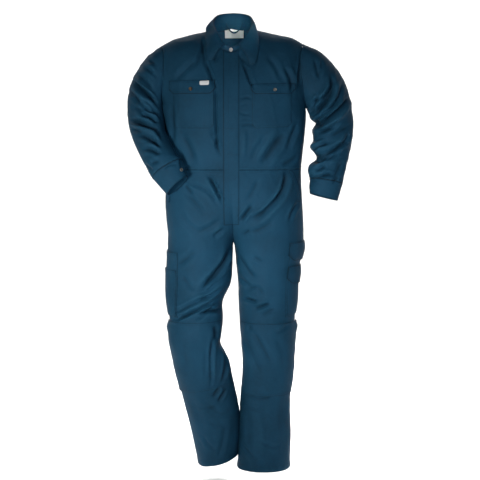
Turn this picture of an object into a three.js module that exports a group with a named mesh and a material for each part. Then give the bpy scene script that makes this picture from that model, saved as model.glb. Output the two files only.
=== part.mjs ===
// A work boiler suit with no wearer, standing as if worn: upper body, legs and sleeves are
// hollow tubes of twill, closed in front by a placket, with a shirt collar, flapped chest
// pockets, hip pockets, pockets on the thighs and knee patches.
//
// Millimetres, +Z up, -Y is the front. The origin is at shoulder height in the middle of the
// neck opening. "right" and "left" are the wearer's, so right is -X. One leg is slack: its
// knee is pushed forwards, and the right forearm is bent across the front of the hip.
import * as THREE from "three";

// Driving dimensions
const CLOTH = 1.6; // wall of a single layer, with its seam allowances
const SEAM_GAP = 0.3; // between neighbouring pieces
const ARMHOLE_GAP = 1.7; // from the body's edge to the middle of the sleeve's wall
const LAYER = 2.4; // from the middle of one layer to the middle of a layer that lies on it
const UNDERARM_Z = -259;
const WAIST_Z = -475;
const CROTCH_Z = -725;
const CROTCH_X = 7; // the hips lean this far to the wearer's left
const TORSO_ROUND = 2.3; // exponent of the body's cross-section: 2 is an ellipse
const NECK = { half: 80, front: 82, back: 60 }; // neck opening, seen from above
const PLACKET = { right: -26, left: 27, bottom: -661 };
const SNAP = { radius: 6.5, height: 2.8, clear: 0.4, cuffLong: 0.968 };

const COLOUR = { twill: 0x23465c, steel: 0xa9a7a2, bronze: 0x6d6358, label: 0xd9dde0 };

// Upper body below the armholes: half-widths to each side of the centre, and depths
const TORSO = [
  { z: WAIST_Z, right: 222, left: 240, front: 130, back: 120 },
  { z: -412, right: 222, left: 246, front: 136, back: 124 },
  { z: -370, right: 224, left: 250, front: 140, back: 130 },
  { z: -310, right: 228, left: 254, front: 142, back: 137 },
  { z: UNDERARM_Z, right: 240, left: 254, front: 139, back: 140 },
];

// Armhole edge from the underarm (rise 0) to the shoulder point (rise 1). fill is the edge's
// share of the half-width that the body's rounding is worked out from.
const ARMHOLE = [
  { rise: 0, right: 240, left: 254, fill: 1 },
  { rise: 0.12, right: 235, left: 246, fill: 0.95 },
  { rise: 0.3, right: 230, left: 237, fill: 0.905 },
  { rise: 0.55, right: 229, left: 234, fill: 0.89 },
  { rise: 0.8, right: 235, left: 243, fill: 0.885 },
  { rise: 1, right: 245, left: 257, fill: 0.885 },
];

// Shoulder line from the neck outwards: its heights, and how round the body is in front of it
// and behind it
const SHOULDER = [
  { x: 0, right: 14, left: 14, frontRound: 1.45, backRound: 2.9 },
  { x: 80, right: -8, left: -3, frontRound: 1.6, backRound: 2.6 },
  { x: 140, right: -20, left: -15, frontRound: 1.9, backRound: 2.4 },
  { x: 200, right: -40, left: -31, frontRound: 2.15, backRound: 2.3 },
  { x: 257, right: -69, left: -57, frontRound: 2.3, backRound: 2.3 },
];

// Each leg from the waist seam down. centre is the tube's middle, measured outwards from the
// centre seam, and half its half-width; where centre is less than half, both legs share one
// section. yc is the middle from front to back. lean tips the ring, outer side down.
const LEG = {
  right: [
    { z: WAIST_Z, centre: 0, half: 222, yc: 0, front: 130, back: 120, round: 2.3, lean: 0 },
    { z: -540, centre: 33.6, half: 193.4, yc: 0, front: 132, back: 128, round: 2.25, lean: 0 },
    { z: -600, centre: 65.6, half: 165.4, yc: 0, front: 130, back: 134, round: 2.2, lean: 0 },
    { z: -660, centre: 92.7, half: 136.3, yc: 0, front: 125, back: 136, round: 2.15, lean: 0 },
    { z: -700, centre: 107.4, half: 118.6, yc: 0, front: 119, back: 134, round: 2.1, lean: 0 },
    { z: CROTCH_Z, centre: 113.5, half: 113.5, yc: -2, front: 115, back: 130, round: 2.1, lean: 0 },
    { z: -808, centre: 116, half: 112, yc: -12, front: 108, back: 117, round: 2.1, lean: 0 },
    { z: -870, centre: 119, half: 107, yc: -24, front: 101, back: 108, round: 2.1, lean: 0 },
    { z: -932, centre: 131, half: 93, yc: -40, front: 97, back: 101, round: 2.1, lean: 0 },
    { z: -994, centre: 128, half: 91, yc: -55, front: 94, back: 94, round: 2.1, lean: 0.02 },
    { z: -1050, centre: 132, half: 89, yc: -62, front: 91, back: 90, round: 2.1, lean: 0.05 },
    { z: -1085, centre: 131, half: 85, yc: -59, front: 88, back: 88, round: 2.1, lean: 0.07 },
    { z: -1121, centre: 119, half: 90, yc: -52, front: 86, back: 88, round: 2.1, lean: 0.09 },
    { z: -1165, centre: 108, half: 94, yc: -40, front: 86, back: 90, round: 2.05, lean: 0.12 },
    { z: -1210, centre: 99, half: 94, yc: -26, front: 85, back: 91, round: 2.05, lean: 0.14 },
    { z: -1255, centre: 89, half: 92, yc: -10, front: 84, back: 90, round: 2.05, lean: 0.17 },
    { z: -1347, centre: 70, half: 89, yc: 12, front: 84, back: 88, round: 2.05, lean: 0.2 },
    { z: -1440, centre: 58, half: 82, yc: 28, front: 87, back: 88, round: 2, lean: 0.23 },
    { z: -1514, centre: 54, half: 71, yc: 34, front: 89, back: 90, round: 2, lean: 0.25 },
  ],
  left: [
    { z: WAIST_Z, centre: 0, half: 240, yc: 0, front: 130, back: 120, round: 2.3, lean: 0 },
    { z: -540, centre: 35.7, half: 205.3, yc: 0, front: 132, back: 128, round: 2.25, lean: 0 },
    { z: -600, centre: 68.8, half: 173.2, yc: 0, front: 130, back: 134, round: 2.2, lean: 0 },
    { z: -660, centre: 98.4, half: 144.6, yc: 0, front: 125, back: 136, round: 2.15, lean: 0 },
    { z: -700, centre: 115.4, half: 127.6, yc: 0, front: 119, back: 134, round: 2.1, lean: 0 },
    { z: CROTCH_Z, centre: 121.5, half: 121.5, yc: 0, front: 115, back: 130, round: 2.1, lean: 0 },
    { z: -767, centre: 122, half: 115, yc: 0, front: 110, back: 122, round: 2.1, lean: 0 },
    { z: -809, centre: 119, half: 107, yc: 0, front: 106, back: 116, round: 2.1, lean: 0 },
    { z: -873, centre: 118, half: 99, yc: -1, front: 101, back: 108, round: 2.1, lean: 0 },
    { z: -937, centre: 118, half: 98, yc: -3, front: 97, back: 102, round: 2.1, lean: 0 },
    { z: -1001, centre: 118, half: 95, yc: -5, front: 93, back: 97, round: 2.1, lean: 0 },
    { z: -1086, centre: 121, half: 92, yc: -5, front: 89, back: 92, round: 2.05, lean: 0 },
    { z: -1151, centre: 121, half: 88, yc: -3, front: 86, back: 89, round: 2.05, lean: 0 },
    { z: -1215, centre: 118, half: 87, yc: 0, front: 84, back: 87, round: 2.05, lean: 0 },
    { z: -1280, centre: 113, half: 86, yc: 3, front: 82, back: 85, round: 2.05, lean: 0 },
    { z: -1411, centre: 111, half: 89, yc: 4, front: 80, back: 83, round: 2, lean: 0 },
    { z: -1534, centre: 106, half: 93, yc: 0, front: 80, back: 81, round: 2, lean: 0 },
  ],
};

// Each sleeve from the armhole to the cuff. The inner and the outer line are those seen from
// the front, x is measured outwards, and deep is half the tube's size across them.
const SLEEVE = {
  right: [
    { inX: 241, inY: 0, inZ: -259, outX: 245, outY: 0, outZ: -64, deep: 74 },
    { inX: 241.5, inY: 0, inZ: -270, outX: 279, outY: 0, outZ: -86, deep: 81 },
    { inX: 239, inY: -1, inZ: -282, outX: 314, outY: -1, outZ: -128, deep: 83 },
    { inX: 235.5, inY: -4, inZ: -296, outX: 341, outY: -3, outZ: -178, deep: 82 },
    { inX: 231.5, inY: -12, inZ: -311, outX: 354, outY: -8, outZ: -232, deep: 78 },
    { inX: 229, inY: -24, inZ: -328, outX: 355, outY: -16, outZ: -286, deep: 73 },
    { inX: 225, inY: -40, inZ: -347, outX: 350, outY: -28, outZ: -330, deep: 68 },
    { inX: 215, inY: -62, inZ: -368, outX: 337, outY: -46, outZ: -374, deep: 64 },
    { inX: 202, inY: -85, inZ: -391, outX: 318, outY: -68, outZ: -413, deep: 60 },
    { inX: 189, inY: -106, inZ: -413, outX: 298, outY: -92, outZ: -449, deep: 56 },
    { inX: 178, inY: -124, inZ: -429, outX: 279, outY: -110, outZ: -479, deep: 53 },
    { inX: 168, inY: -132, inZ: -439, outX: 263, outY: -121, outZ: -503, deep: 46 },
    { inX: 147, inY: -146, inZ: -497, outX: 212, outY: -143, outZ: -558, deep: 36 },
  ],
  left: [
    { inX: 255, inY: 0, inZ: -259, outX: 257, outY: 0, outZ: -57, deep: 74 },
    { inX: 262, inY: 0, inZ: -273, outX: 300, outY: 1, outZ: -74, deep: 81 },
    { inX: 268, inY: 0, inZ: -287, outX: 343, outY: 2, outZ: -111, deep: 84 },
    { inX: 275, inY: 1, inZ: -302, outX: 380, outY: 4, outZ: -162, deep: 82 },
    { inX: 281, inY: 2, inZ: -320, outX: 404, outY: 5, outZ: -222, deep: 78 },
    { inX: 284, inY: 3, inZ: -343, outX: 417, outY: 6, outZ: -284, deep: 74 },
    { inX: 284, inY: 1, inZ: -371, outX: 420, outY: 4, outZ: -336, deep: 70 },
    { inX: 283, inY: -4, inZ: -399, outX: 416, outY: -1, outZ: -382, deep: 66 },
    { inX: 281, inY: -12, inZ: -427, outX: 408, outY: -10, outZ: -422, deep: 63 },
    { inX: 275, inY: -21, inZ: -456, outX: 397, outY: -20, outZ: -463, deep: 60 },
    { inX: 268, inY: -30, inZ: -484, outX: 388, outY: -30, outZ: -497, deep: 57 },
    { inX: 269, inY: -37, inZ: -508, outX: 381, outY: -37, outZ: -525, deep: 50 },
    { inX: 271, inY: -43, inZ: -560, outX: 363, outY: -45, outZ: -584, deep: 38 },
  ],
};
const CUFF_START = 11 / 12; // where the cuff is sewn on, as a share of the sleeve's sections
const BODY_CLEAR = 3; // from the body to a sleeve that rests against it, between their middles
const CAP_EASE = 0.35; // the share of the sleeve that eases out of the armhole's outline

// Collar from the centre front (turn 0) to the centre back (1). neck is the angle of the
// neckline in degrees. fold is the line where the leaf turns over, and edge the leaf's outer
// edge, both measured outwards from a middle that is off centre by foldOff and edgeOff.
const COLLAR = [
  {
    turn: 0, neck: 0, foldOff: 0, foldX: 0, foldY: -87, foldZ: -63, edgeOff: 0, edgeX: 50,
    edgeY: -101, edgeZ: -109,
  },
  {
    turn: 0.1, neck: 14, foldOff: 0, foldX: 21, foldY: -86, foldZ: -56, edgeOff: 0, edgeX: 60,
    edgeY: -101, edgeZ: -109,
  },
  {
    turn: 0.2, neck: 25, foldOff: 2, foldX: 34, foldY: -77, foldZ: -42, edgeOff: 1, edgeX: 80,
    edgeY: -101, edgeZ: -107,
  },
  {
    turn: 0.35, neck: 45, foldOff: 5, foldX: 53, foldY: -52, foldZ: -12, edgeOff: 4, edgeX: 87,
    edgeY: -82, edgeZ: -70,
  },
  {
    turn: 0.5, neck: 72, foldOff: 6, foldX: 65, foldY: -14, foldZ: 14, edgeOff: 3, edgeX: 89,
    edgeY: -49, edgeZ: -30,
  },
  {
    turn: 0.65, neck: 100, foldOff: 6, foldX: 67, foldY: 12, foldZ: 32, edgeOff: -1, edgeX: 84,
    edgeY: -6, edgeZ: 3,
  },
  {
    turn: 0.8, neck: 130, foldOff: 6, foldX: 57, foldY: 38, foldZ: 49, edgeOff: 0, edgeX: 72,
    edgeY: 47, edgeZ: 3,
  },
  {
    turn: 0.9, neck: 153, foldOff: 6, foldX: 35, foldY: 54, foldZ: 57, edgeOff: 3, edgeX: 42,
    edgeY: 70, edgeZ: 2,
  },
  {
    turn: 1, neck: 180, foldOff: 6, foldX: 0, foldY: 62, foldZ: 60, edgeOff: 4, edgeX: 0,
    edgeY: 79, edgeZ: 3,
  },
];
// How far the left point of the collar hangs lower than the right one
const LEAF_DROOP = { x: 2, y: -3, z: -15 };
const LEAF_START = 0.1; // the leaf's ends stand back from the centre front

// Largest folds of the cloth, seen from the front: from one point to another, how far the
// cloth stands out (or in, where it is less than 0) and half the fold's width
const FOLDS = [
  { x0: -14, z0: -760, x1: -118, z1: -892, out: -7, wide: 17 },
  { x0: -4, z0: -800, x1: -104, z1: -918, out: 4, wide: 20 },
  { x0: -62, z0: -938, x1: -196, z1: -990, out: -5, wide: 15 },
  { x0: -40, z0: -975, x1: -120, z1: -982, out: -6, wide: 11 },
  { x0: -86, z0: -1085, x1: -78, z1: -1185, out: -5, wide: 15 },
  { x0: -60, z0: -1090, x1: -56, z1: -1170, out: 4, wide: 15 },
  { x0: 186, z0: -480, x1: 92, z1: -640, out: -5, wide: 20 },
  { x0: 88, z0: -604, x1: 44, z1: -644, out: -5, wide: 15 },
  { x0: -86, z0: -496, x1: -50, z1: -582, out: -6, wide: 15 },
  { x0: 196, z0: -345, x1: 108, z1: -450, out: -4, wide: 24 },
  { x0: 40, z0: -100, x1: 72, z1: -190, out: -6, wide: 12 },
  { x0: -190, z0: -165, x1: -112, z1: -100, out: -4, wide: 18 },
  { x0: 50, z0: -905, x1: 150, z1: -925, out: 5, wide: 22 },
  { x0: 48, z0: -950, x1: 140, z1: -960, out: -5, wide: 18 },
];

// The same across the sleeves, given by place: around and along the tube
const SLEEVE_FOLDS = {
  right: [
    { turn0: 0.4, long0: 0.24, turn1: 0.08, long1: 0.34, out: -7, wide: 15 },
    { turn0: 0.42, long0: 0.3, turn1: 0.1, long1: 0.4, out: 5, wide: 15 },
    { turn0: 0.4, long0: 0.42, turn1: 0.06, long1: 0.5, out: -7, wide: 16 },
    { turn0: 0.9, long0: 0.3, turn1: 0.62, long1: 0.36, out: -5, wide: 18 },
    { turn0: 0.94, long0: 0.45, turn1: 0.64, long1: 0.42, out: -5, wide: 18 },
  ],
  left: [
    { turn0: 0.4, long0: 0.18, turn1: 0.04, long1: 0.36, out: -8, wide: 17 },
    { turn0: 0.42, long0: 0.3, turn1: 0.06, long1: 0.45, out: 5, wide: 16 },
    { turn0: 0.36, long0: 0.58, turn1: 0.03, long1: 0.68, out: -6, wide: 15 },
    { turn0: 0.3, long0: 0.82, turn1: 0.03, long1: 0.83, out: -6, wide: 14 },
    { turn0: 0.92, long0: 0.34, turn1: 0.62, long1: 0.28, out: -5, wide: 18 },
    { turn0: 0.95, long0: 0.6, turn1: 0.64, long1: 0.56, out: -5, wide: 16 },
  ],
};

// Pieces sewn on the front of the body, as seen from the front: the corners towards the middle
// of the chest and the ones at the side, how much of a lower corner is cut off, the piece each
// lies on and how far its middle stands out
const FRONT_PATCHES = [
  {
    name: "chest_pocket_right", x0: -57, top0: -190, bottom0: -336, x1: -194, top1: -190,
    bottom1: -336, corner: 12, belly: 2,
  },
  {
    name: "chest_pocket_left", x0: 70, top0: -200, bottom0: -337, x1: 203, top1: -196,
    bottom1: -331, corner: 12, belly: 2,
  },
  {
    name: "chest_flap_right", x0: -54, top0: -176, bottom0: -222, x1: -206, top1: -178,
    bottom1: -222, corner: 15, belly: 2, on: "chest_pocket_right",
  },
  {
    name: "chest_flap_left", x0: 66, top0: -190, bottom0: -224, x1: 213, top1: -186,
    bottom1: -220, corner: 15, belly: 2, on: "chest_pocket_left",
  },
  {
    name: "flap_tag", x0: -73, top0: -180, bottom0: -194, x1: -104, top1: -180, bottom1: -194,
    corner: 0, belly: 0, clear: -0.4, on: "chest_flap_right",
  },
];

// Bound edges of the slanting hip pockets
const HIP_EDGE = { wide: 13, top: WAIST_Z - 4, bottom: -588, topX: 207, bottomX: 238 };

// Pieces sewn on the legs: from and to are places around the leg, top and bottom heights
const LEG_PATCHES = [
  {
    name: "knee_patch_right", side: "right", from: 0.063, to: 0.4994, top: -992, bottom: -1236,
    belly: 3, corner: 0, clear: 0.2,
  },
  {
    name: "knee_patch_left", side: "left", from: 0.02, to: 0.4994, top: -1004, bottom: -1262,
    belly: 3, corner: 0,
  },
  {
    name: "ruler_pocket_right", side: "right", from: 0.36, to: 0.63, top: -759, bottom: -978,
    belly: 3, corner: 0, clear: 0.5,
  },
  {
    name: "tool_pocket_right", side: "right", from: 0.366, to: 0.624, top: -819, bottom: -974,
    belly: 3, corner: 0, on: "ruler_pocket_right",
  },
  {
    name: "thigh_pocket_left", side: "left", from: 0.352, to: 0.63, top: -736, bottom: -984,
    belly: 3, corner: 0,
  },
  {
    name: "phone_pocket_left", side: "left", from: 0.362, to: 0.62, top: -816, bottom: -978,
    belly: 3, corner: 0, on: "thigh_pocket_left",
  },
  {
    name: "thigh_flap_left", side: "left", from: 0.34, to: 0.64, top: -725, bottom: -786,
    belly: 4, corner: 18, on: "thigh_pocket_left",
  },
  {
    name: "phone_flap_left", side: "left", from: 0.35, to: 0.632, top: -806, bottom: -866,
    belly: 4, corner: 18, on: "phone_pocket_left",
  },
];

// Neck label on the inside of the back, and the loop that hangs the suit up
const NECK_LABEL = { x: 10, width: 66, top: 8, bottom: -25 };
const LOOP = { x: 10, width: 58, y: 49, top: 22, sag: 31, tape: 6 };

// Panels as meshes: how many strips each is divided into
const GRID = {
  torsoAcross: 9,
  torsoUp: 7,
  armholeUp: 10,
  legAcross: 8,
  hipUp: 10,
  legUp: 24,
  sleeveLong: 21,
};

const SIDES = [
  { name: "right", sign: -1 },
  { name: "left", sign: 1 },
];

const clamp = (value, low, high) => Math.min(high, Math.max(low, value));
const mix = (a, b, t) => a + (b - a) * t;
const ease = (t) => clamp(t, 0, 1) ** 2 * (3 - 2 * clamp(t, 0, 1));
const power = (value, exponent) => Math.sign(value) * Math.abs(value) ** exponent;
const degrees = (value) => (value * Math.PI) / 180;

// The smooth curve through one column of a table, read where its key has the given value
function read(table, key, column, at) {
  const rising = table[table.length - 1][key] > table[0][key];
  const [low, high] = rising ? [table[0], table.at(-1)] : [table.at(-1), table[0]];
  const inside = clamp(at, low[key], high[key]);
  const past = (row) => (rising ? inside <= row[key] : inside >= row[key]);
  const found = table.findIndex((row, n) => n > 0 && past(row));
  const i = Math.max(1, found);
  const slope = (n) => {
    const before = table[Math.max(0, n - 1)];
    const after = table[Math.min(table.length - 1, n + 1)];
    return (after[column] - before[column]) / (after[key] - before[key]);
  };
  const [from, to] = [table[i - 1], table[i]];
  const span = to[key] - from[key];
  const t = (inside - from[key]) / span;
  return (
    (2 * t ** 3 - 3 * t ** 2 + 1) * from[column] +
    (t ** 3 - 2 * t ** 2 + t) * span * slope(i - 1) +
    (3 * t ** 2 - 2 * t ** 3) * to[column] +
    (t ** 3 - t ** 2) * span * slope(i)
  );
}

// How much a fold stands out at a place across (u) and along (v) the cloth
function foldHeight(u, v, u0, v0, u1, v1, out, wide) {
  const length = Math.hypot(u1 - u0, v1 - v0);
  const along = ((u - u0) * (u1 - u0) + (v - v0) * (v1 - v0)) / length ** 2;
  const off = ((u - u0) * (v1 - v0) - (v - v0) * (u1 - u0)) / length;
  const past = Math.max(0, Math.abs(along - 0.5) - 0.35) / 0.25;
  return out * Math.exp(-((off / wide) ** 2) - past ** 2);
}

function bodyFold(point) {
  return FOLDS.reduce(
    (sum, f) => sum + foldHeight(point.x, point.z, f.x0, f.z0, f.x1, f.z1, f.out, f.wide),
    0,
  );
}

const centreX = (z) => CROTCH_X * ease((WAIST_Z - z) / (WAIST_Z - CROTCH_Z));
const shoulder = (column, x) => read(SHOULDER, "x", column, Math.abs(x));

// How far the body's section reaches at a share of its half-width
const bulge = (share) => (1 - Math.min(1, Math.abs(share)) ** TORSO_ROUND) ** (1 / TORSO_ROUND);

// The distance from the centre line at a share of the panel's width, and the reverse
const spread = (share) => Math.sin((Math.PI / 2) * share) ** (2 / TORSO_ROUND);
const spreadShare = (ratio) => (2 / Math.PI) * Math.asin(clamp(ratio, 0, 1) ** (TORSO_ROUND / 2));

// A point of the upper body. level runs from 0 at the waist seam to 1 at the underarm and 2 at
// the shoulder seam or neckline; share runs from the centre (0) to the side seam or armhole (1).
function torsoPoint(side, face, share, level) {
  const isFront = face === "front";
  const out = isFront ? -1 : 1;
  if (level <= 1) {
    const z = mix(WAIST_Z, UNDERARM_Z, level);
    const half = read(TORSO, "z", side.name, z);
    const x = half * spread(share);
    return new THREE.Vector3(side.sign * x, out * read(TORSO, "z", face, z) * bulge(x / half), z);
  }
  const rise = level - 1;
  const round = isFront ? "frontRound" : "backRound";
  const depth = TORSO.at(-1)[face];
  const edge = read(ARMHOLE, "rise", side.name, rise);
  const topEdge = read(ARMHOLE, "rise", side.name, 1);
  const x = edge * spread(share);
  const topX = topEdge * spread(share);
  const reach = depth * bulge((x / edge) * read(ARMHOLE, "rise", "fill", rise));
  const topReach = depth * bulge((topX / topEdge) * ARMHOLE.at(-1).fill);
  const neck = NECK[face] * Math.sqrt(Math.max(0, 1 - (topX / NECK.half) ** 2));
  const turn = rise * Math.acos((neck / topReach) ** (shoulder(round, topX) / 2));
  return new THREE.Vector3(
    side.sign * x,
    out * reach * Math.max(0, Math.cos(turn)) ** (2 / shoulder(round, x)),
    UNDERARM_Z + (shoulder(side.name, x) - UNDERARM_Z) * Math.sin(turn) ** (2 / shoulder(round, x)),
  );
}

// Where a leg's ring ends at the centre seam, as an angle from its outer side; below the crotch
// the ring is whole
function meetingAngle(side, z) {
  const at = (column) => read(LEG[side.name], "z", column, z);
  const share = z > CROTCH_Z ? clamp(at("centre") / at("half"), 0, 1) : 1;
  return Math.acos(-(share ** (at("round") / 2)));
}

// A point of a leg. around runs from the centre front or inseam (0) by way of the side seam
// (0.5) to the centre back or inseam (1).
function legPoint(side, around, z) {
  const at = (column) => read(LEG[side.name], "z", column, z);
  const [centre, half, round] = [at("centre"), at("half"), at("round")];
  const angle = meetingAngle(side, z) * (1 - 2 * around);
  const x = half * power(Math.cos(angle), 2 / round);
  const depth = angle > 0 ? at("front") : at("back");
  const apart = mix(SEAM_GAP / 2, CLOTH / 2 + SEAM_GAP, ease((-600 - z) / 90));
  const nearest = apart - ease((-800 - z) / 90) * 60;
  return new THREE.Vector3(
    centreX(z) + side.sign * Math.max(nearest, centre + x),
    at("yc") - depth * power(Math.sin(angle), 2 / round),
    z - at("lean") * x,
  );
}

const sleeveLong = (table, n) => n / (table.length - 1);
const SLEEVE_ROWS = Object.fromEntries(
  SIDES.map(({ name }) => [
    name,
    SLEEVE[name].map((row, n, all) => ({ ...row, long: sleeveLong(all, n) })),
  ]),
);

// A ring of a sleeve's tube, before it is fitted to the armhole
function sleeveTube(side, around, long) {
  const at = (column, where) => read(SLEEVE_ROWS[side.name], "long", column, where);
  const inner = (where) => new THREE.Vector3(at("inX", where), at("inY", where), at("inZ", where));
  const outer = (where) => new THREE.Vector3(at("outX", where), at("outY", where), at("outZ", where));
  const middle = (where) => inner(where).add(outer(where)).multiplyScalar(0.5);
  const across = outer(long).sub(inner(long)).multiplyScalar(0.5);
  const step = 0.02;
  const axis = middle(Math.min(1, long + step)).sub(middle(Math.max(0, long - step))).normalize();
  const forwards = new THREE.Vector3().crossVectors(axis, across).normalize();
  if (forwards.y > 0) forwards.negate();
  const turn = 2 * Math.PI * around;
  const point = middle(long)
    .addScaledVector(across, -Math.cos(turn))
    .addScaledVector(forwards, at("deep", long) * Math.sin(turn));
  point.x *= side.sign;
  return point;
}

// A point of a sleeve. around is 0 at the underarm seam, 0.25 in front, 0.5 on top and 0.75
// behind; long runs from the armhole (0) to the end of the cuff (1).
function sleevePoint(side, around, long) {
  const point = sleeveTube(side, around, long);
  const onFront = around <= 0.5;
  const level = 1 + 2 * (onFront ? around : 1 - around);
  const edge = torsoPoint(side, onFront ? "front" : "back", 1, level);
  edge.x += side.sign * ARMHOLE_GAP;
  edge.sub(sleeveTube(side, around, 0));
  return clearOfBody(side, point.addScaledVector(edge, 1 - ease(long / CAP_EASE)));
}

// The arm rests against the side: a point inside the body's section is moved out to clear it
function clearOfBody(side, point) {
  if (point.z > UNDERARM_Z - 2) return point;
  const z = Math.max(WAIST_Z, point.z);
  const [half, depth] = [side.name, "front"].map((column) => read(TORSO, "z", column, z) + BODY_CLEAR);
  const inside = (Math.abs(point.x) / half) ** TORSO_ROUND + (Math.abs(point.y) / depth) ** TORSO_ROUND;
  const out = inside < 1 ? inside ** (-1 / TORSO_ROUND) : 1;
  return new THREE.Vector3(point.x * out, point.y * out, point.z);
}

// How much the sleeve's folds stand out, with places measured in millimetres of cloth
function sleeveFold(side, around, long) {
  const [girth, length] = [430, 620];
  return SLEEVE_FOLDS[side.name].reduce(
    (sum, f) =>
      sum +
      foldHeight(
        girth * around,
        length * long,
        girth * f.turn0,
        length * f.long0,
        girth * f.turn1,
        length * f.long1,
        f.out,
        f.wide,
      ),
    0,
  );
}

// The front or back of the body at a place given as seen from the front
function bodyPoint(face, x, z) {
  const side = x < centreX(z) ? SIDES[0] : SIDES[1];
  if (z <= WAIST_Z) {
    const at = (column) => read(LEG[side.name], "z", column, z);
    const [centre, half, round] = [at("centre"), at("half"), at("round")];
    const meeting = meetingAngle(side, z);
    const ratio = clamp((Math.abs(x - centreX(z)) - centre) / half, -1, 1);
    const angle = Math.min(meeting, Math.acos(power(ratio, round / 2)));
    const turn = angle / meeting / 2;
    return legPoint(side, face === "front" ? 0.5 - turn : 0.5 + turn, z);
  }
  const shareAt = (level) => {
    const half =
      level <= 1
        ? read(TORSO, "z", side.name, mix(WAIST_Z, UNDERARM_Z, level))
        : read(ARMHOLE, "rise", side.name, level - 1);
    return spreadShare(Math.abs(x) / half);
  };
  let [low, high] = [0, 2];
  for (let n = 0; n < 24; n += 1) {
    const middle = (low + high) / 2;
    if (torsoPoint(side, face, shareAt(middle), middle).z < z) low = middle;
    else high = middle;
  }
  return torsoPoint(side, face, shareAt(low), low);
}

// The neckline at an angle in degrees from the centre front
function neckPoint(side, angle) {
  const x = NECK.half * Math.sin(degrees(angle));
  const face = angle < 90 ? "front" : "back";
  return torsoPoint(side, face, spreadShare(x / read(ARMHOLE, "rise", side.name, 1)), 2);
}

// Evenly spaced numbers from one value to another
const steps = (from, to, count) =>
  Array.from({ length: count + 1 }, (_, n) => mix(from, to, n / count));

// The points of a panel on a grid, and the direction away from its inside at each
function gridOf(pointAt, columns, rows, closed) {
  const points = rows.map((row) => columns.map((column) => pointAt(column, row)));
  const normals = rows.map((_, j) =>
    columns.map((_, i) => {
      const before = closed ? (i + columns.length - 1) % columns.length : Math.max(0, i - 1);
      const after = closed ? (i + 1) % columns.length : Math.min(columns.length - 1, i + 1);
      const along = points[j][after].clone().sub(points[j][before]);
      const up = points[Math.min(rows.length - 1, j + 1)][i].clone().sub(points[Math.max(0, j - 1)][i]);
      return along.cross(up).normalize();
    }),
  );
  return { points, normals };
}

// A closed wall of cloth on a grid of points. lift moves the wall out, towards the side that
// hint points to, and folds moves it with the cloth; both are given the place on the grid.
// A closed wall runs all the way round.
function clothWall(pointAt, columns, rows, options) {
  const { lift = () => 0, folds = () => 0, thick = CLOTH, hint, closed = false } = options;
  const { points, normals } = gridOf(pointAt, columns, rows, closed);
  const middle = [Math.floor(rows.length / 2), Math.floor(columns.length / 2)];
  const sample = normals[middle[0]][middle[1]];
  const facing = sample.dot(hint(points[middle[0]][middle[1]])) < 0 ? -1 : 1;
  const [across, up] = [columns.length, rows.length];
  const position = [];
  for (const layer of [thick / 2, -thick / 2]) {
    points.forEach((line, j) =>
      line.forEach((point, i) => {
        const out = layer + lift(i / (across - 1), j / (up - 1), columns[i], rows[j]);
        const fold = folds(point, normals[j][i].clone().multiplyScalar(facing), columns[i], rows[j]);
        position.push(...point.clone().addScaledVector(normals[j][i], facing * (out + fold)).toArray());
      }),
    );
  }
  const index = [];
  const quad = (a, b, c, d) => index.push(a, b, c, a, c, d);
  const inner = across * up;
  const last = closed ? across : across - 1;
  for (let j = 0; j < up - 1; j += 1) {
    for (let i = 0; i < last; i += 1) {
      const [a, b] = [j * across + i, j * across + ((i + 1) % across)];
      quad(a, b, b + across, a + across);
      quad(inner + a, inner + a + across, inner + b + across, inner + b);
    }
  }
  for (let i = 0; i < last; i += 1) {
    const next = (i + 1) % across;
    const top = (up - 1) * across;
    quad(next, i, inner + i, inner + next);
    quad(top + i, top + next, inner + top + next, inner + top + i);
  }
  for (let j = 0; !closed && j < up - 1; j += 1) {
    const [a, b] = [j * across, (j + 1) * across - 1];
    quad(a, a + across, inner + a + across, inner + a);
    quad(b + across, b, inner + b, inner + b + across);
  }
  const geometry = new THREE.BufferGeometry();
  geometry.setAttribute("position", new THREE.Float32BufferAttribute(position, 3));
  geometry.setIndex(facing > 0 ? index : index.map((_, n) => index[n - (n % 3) + [0, 2, 1][n % 3]]));
  return geometry;
}

const suit = new THREE.Group();

function addPiece(name, geometry, colour = COLOUR.twill, roughness = 0.9, metalness = 0) {
  const material = new THREE.MeshStandardMaterial({ color: colour, roughness, metalness });
  const mesh = new THREE.Mesh(geometry, material);
  mesh.name = name;
  suit.add(mesh);
  return mesh;
}

const forwards = () => new THREE.Vector3(0, -1, 0);
const backwards = () => new THREE.Vector3(0, 1, 0);
const frontFolds = (point, normal) => ease(-1.5 * normal.y) * bodyFold(point);
const belly = (u, v) => Math.sin(Math.PI * u) * Math.sin(Math.PI * v);

// Fronts and back of the upper body
const neckShare = (side) => spreadShare(NECK.half / read(ARMHOLE, "rise", side.name, 1));
const torsoColumns = (side) => [
  ...steps(0.0006, 0.6 * neckShare(side), 2),
  ...steps(0.6 * neckShare(side), neckShare(side), 2).slice(1),
  ...steps(neckShare(side), 0.9992, GRID.torsoAcross - 3).slice(1),
];
const torsoRows = [...steps(0.001, 1, GRID.torsoUp), ...steps(1, 1.9988, GRID.armholeUp).slice(1)];

for (const side of SIDES) {
  addPiece(
    `front_${side.name}`,
    clothWall((share, level) => torsoPoint(side, "front", share, level), torsoColumns(side), torsoRows, {
      folds: frontFolds,
      hint: forwards,
    }),
  );
}
const backColumns = [
  ...torsoColumns(SIDES[0])
    .slice(1)
    .reverse()
    .map((share) => -share),
  0,
  ...torsoColumns(SIDES[1]).slice(1),
];
addPiece(
  "back",
  clothWall(
    (share, level) => torsoPoint(share < 0 ? SIDES[0] : SIDES[1], "back", Math.abs(share), level),
    backColumns,
    torsoRows,
    { hint: backwards },
  ),
);

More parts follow.
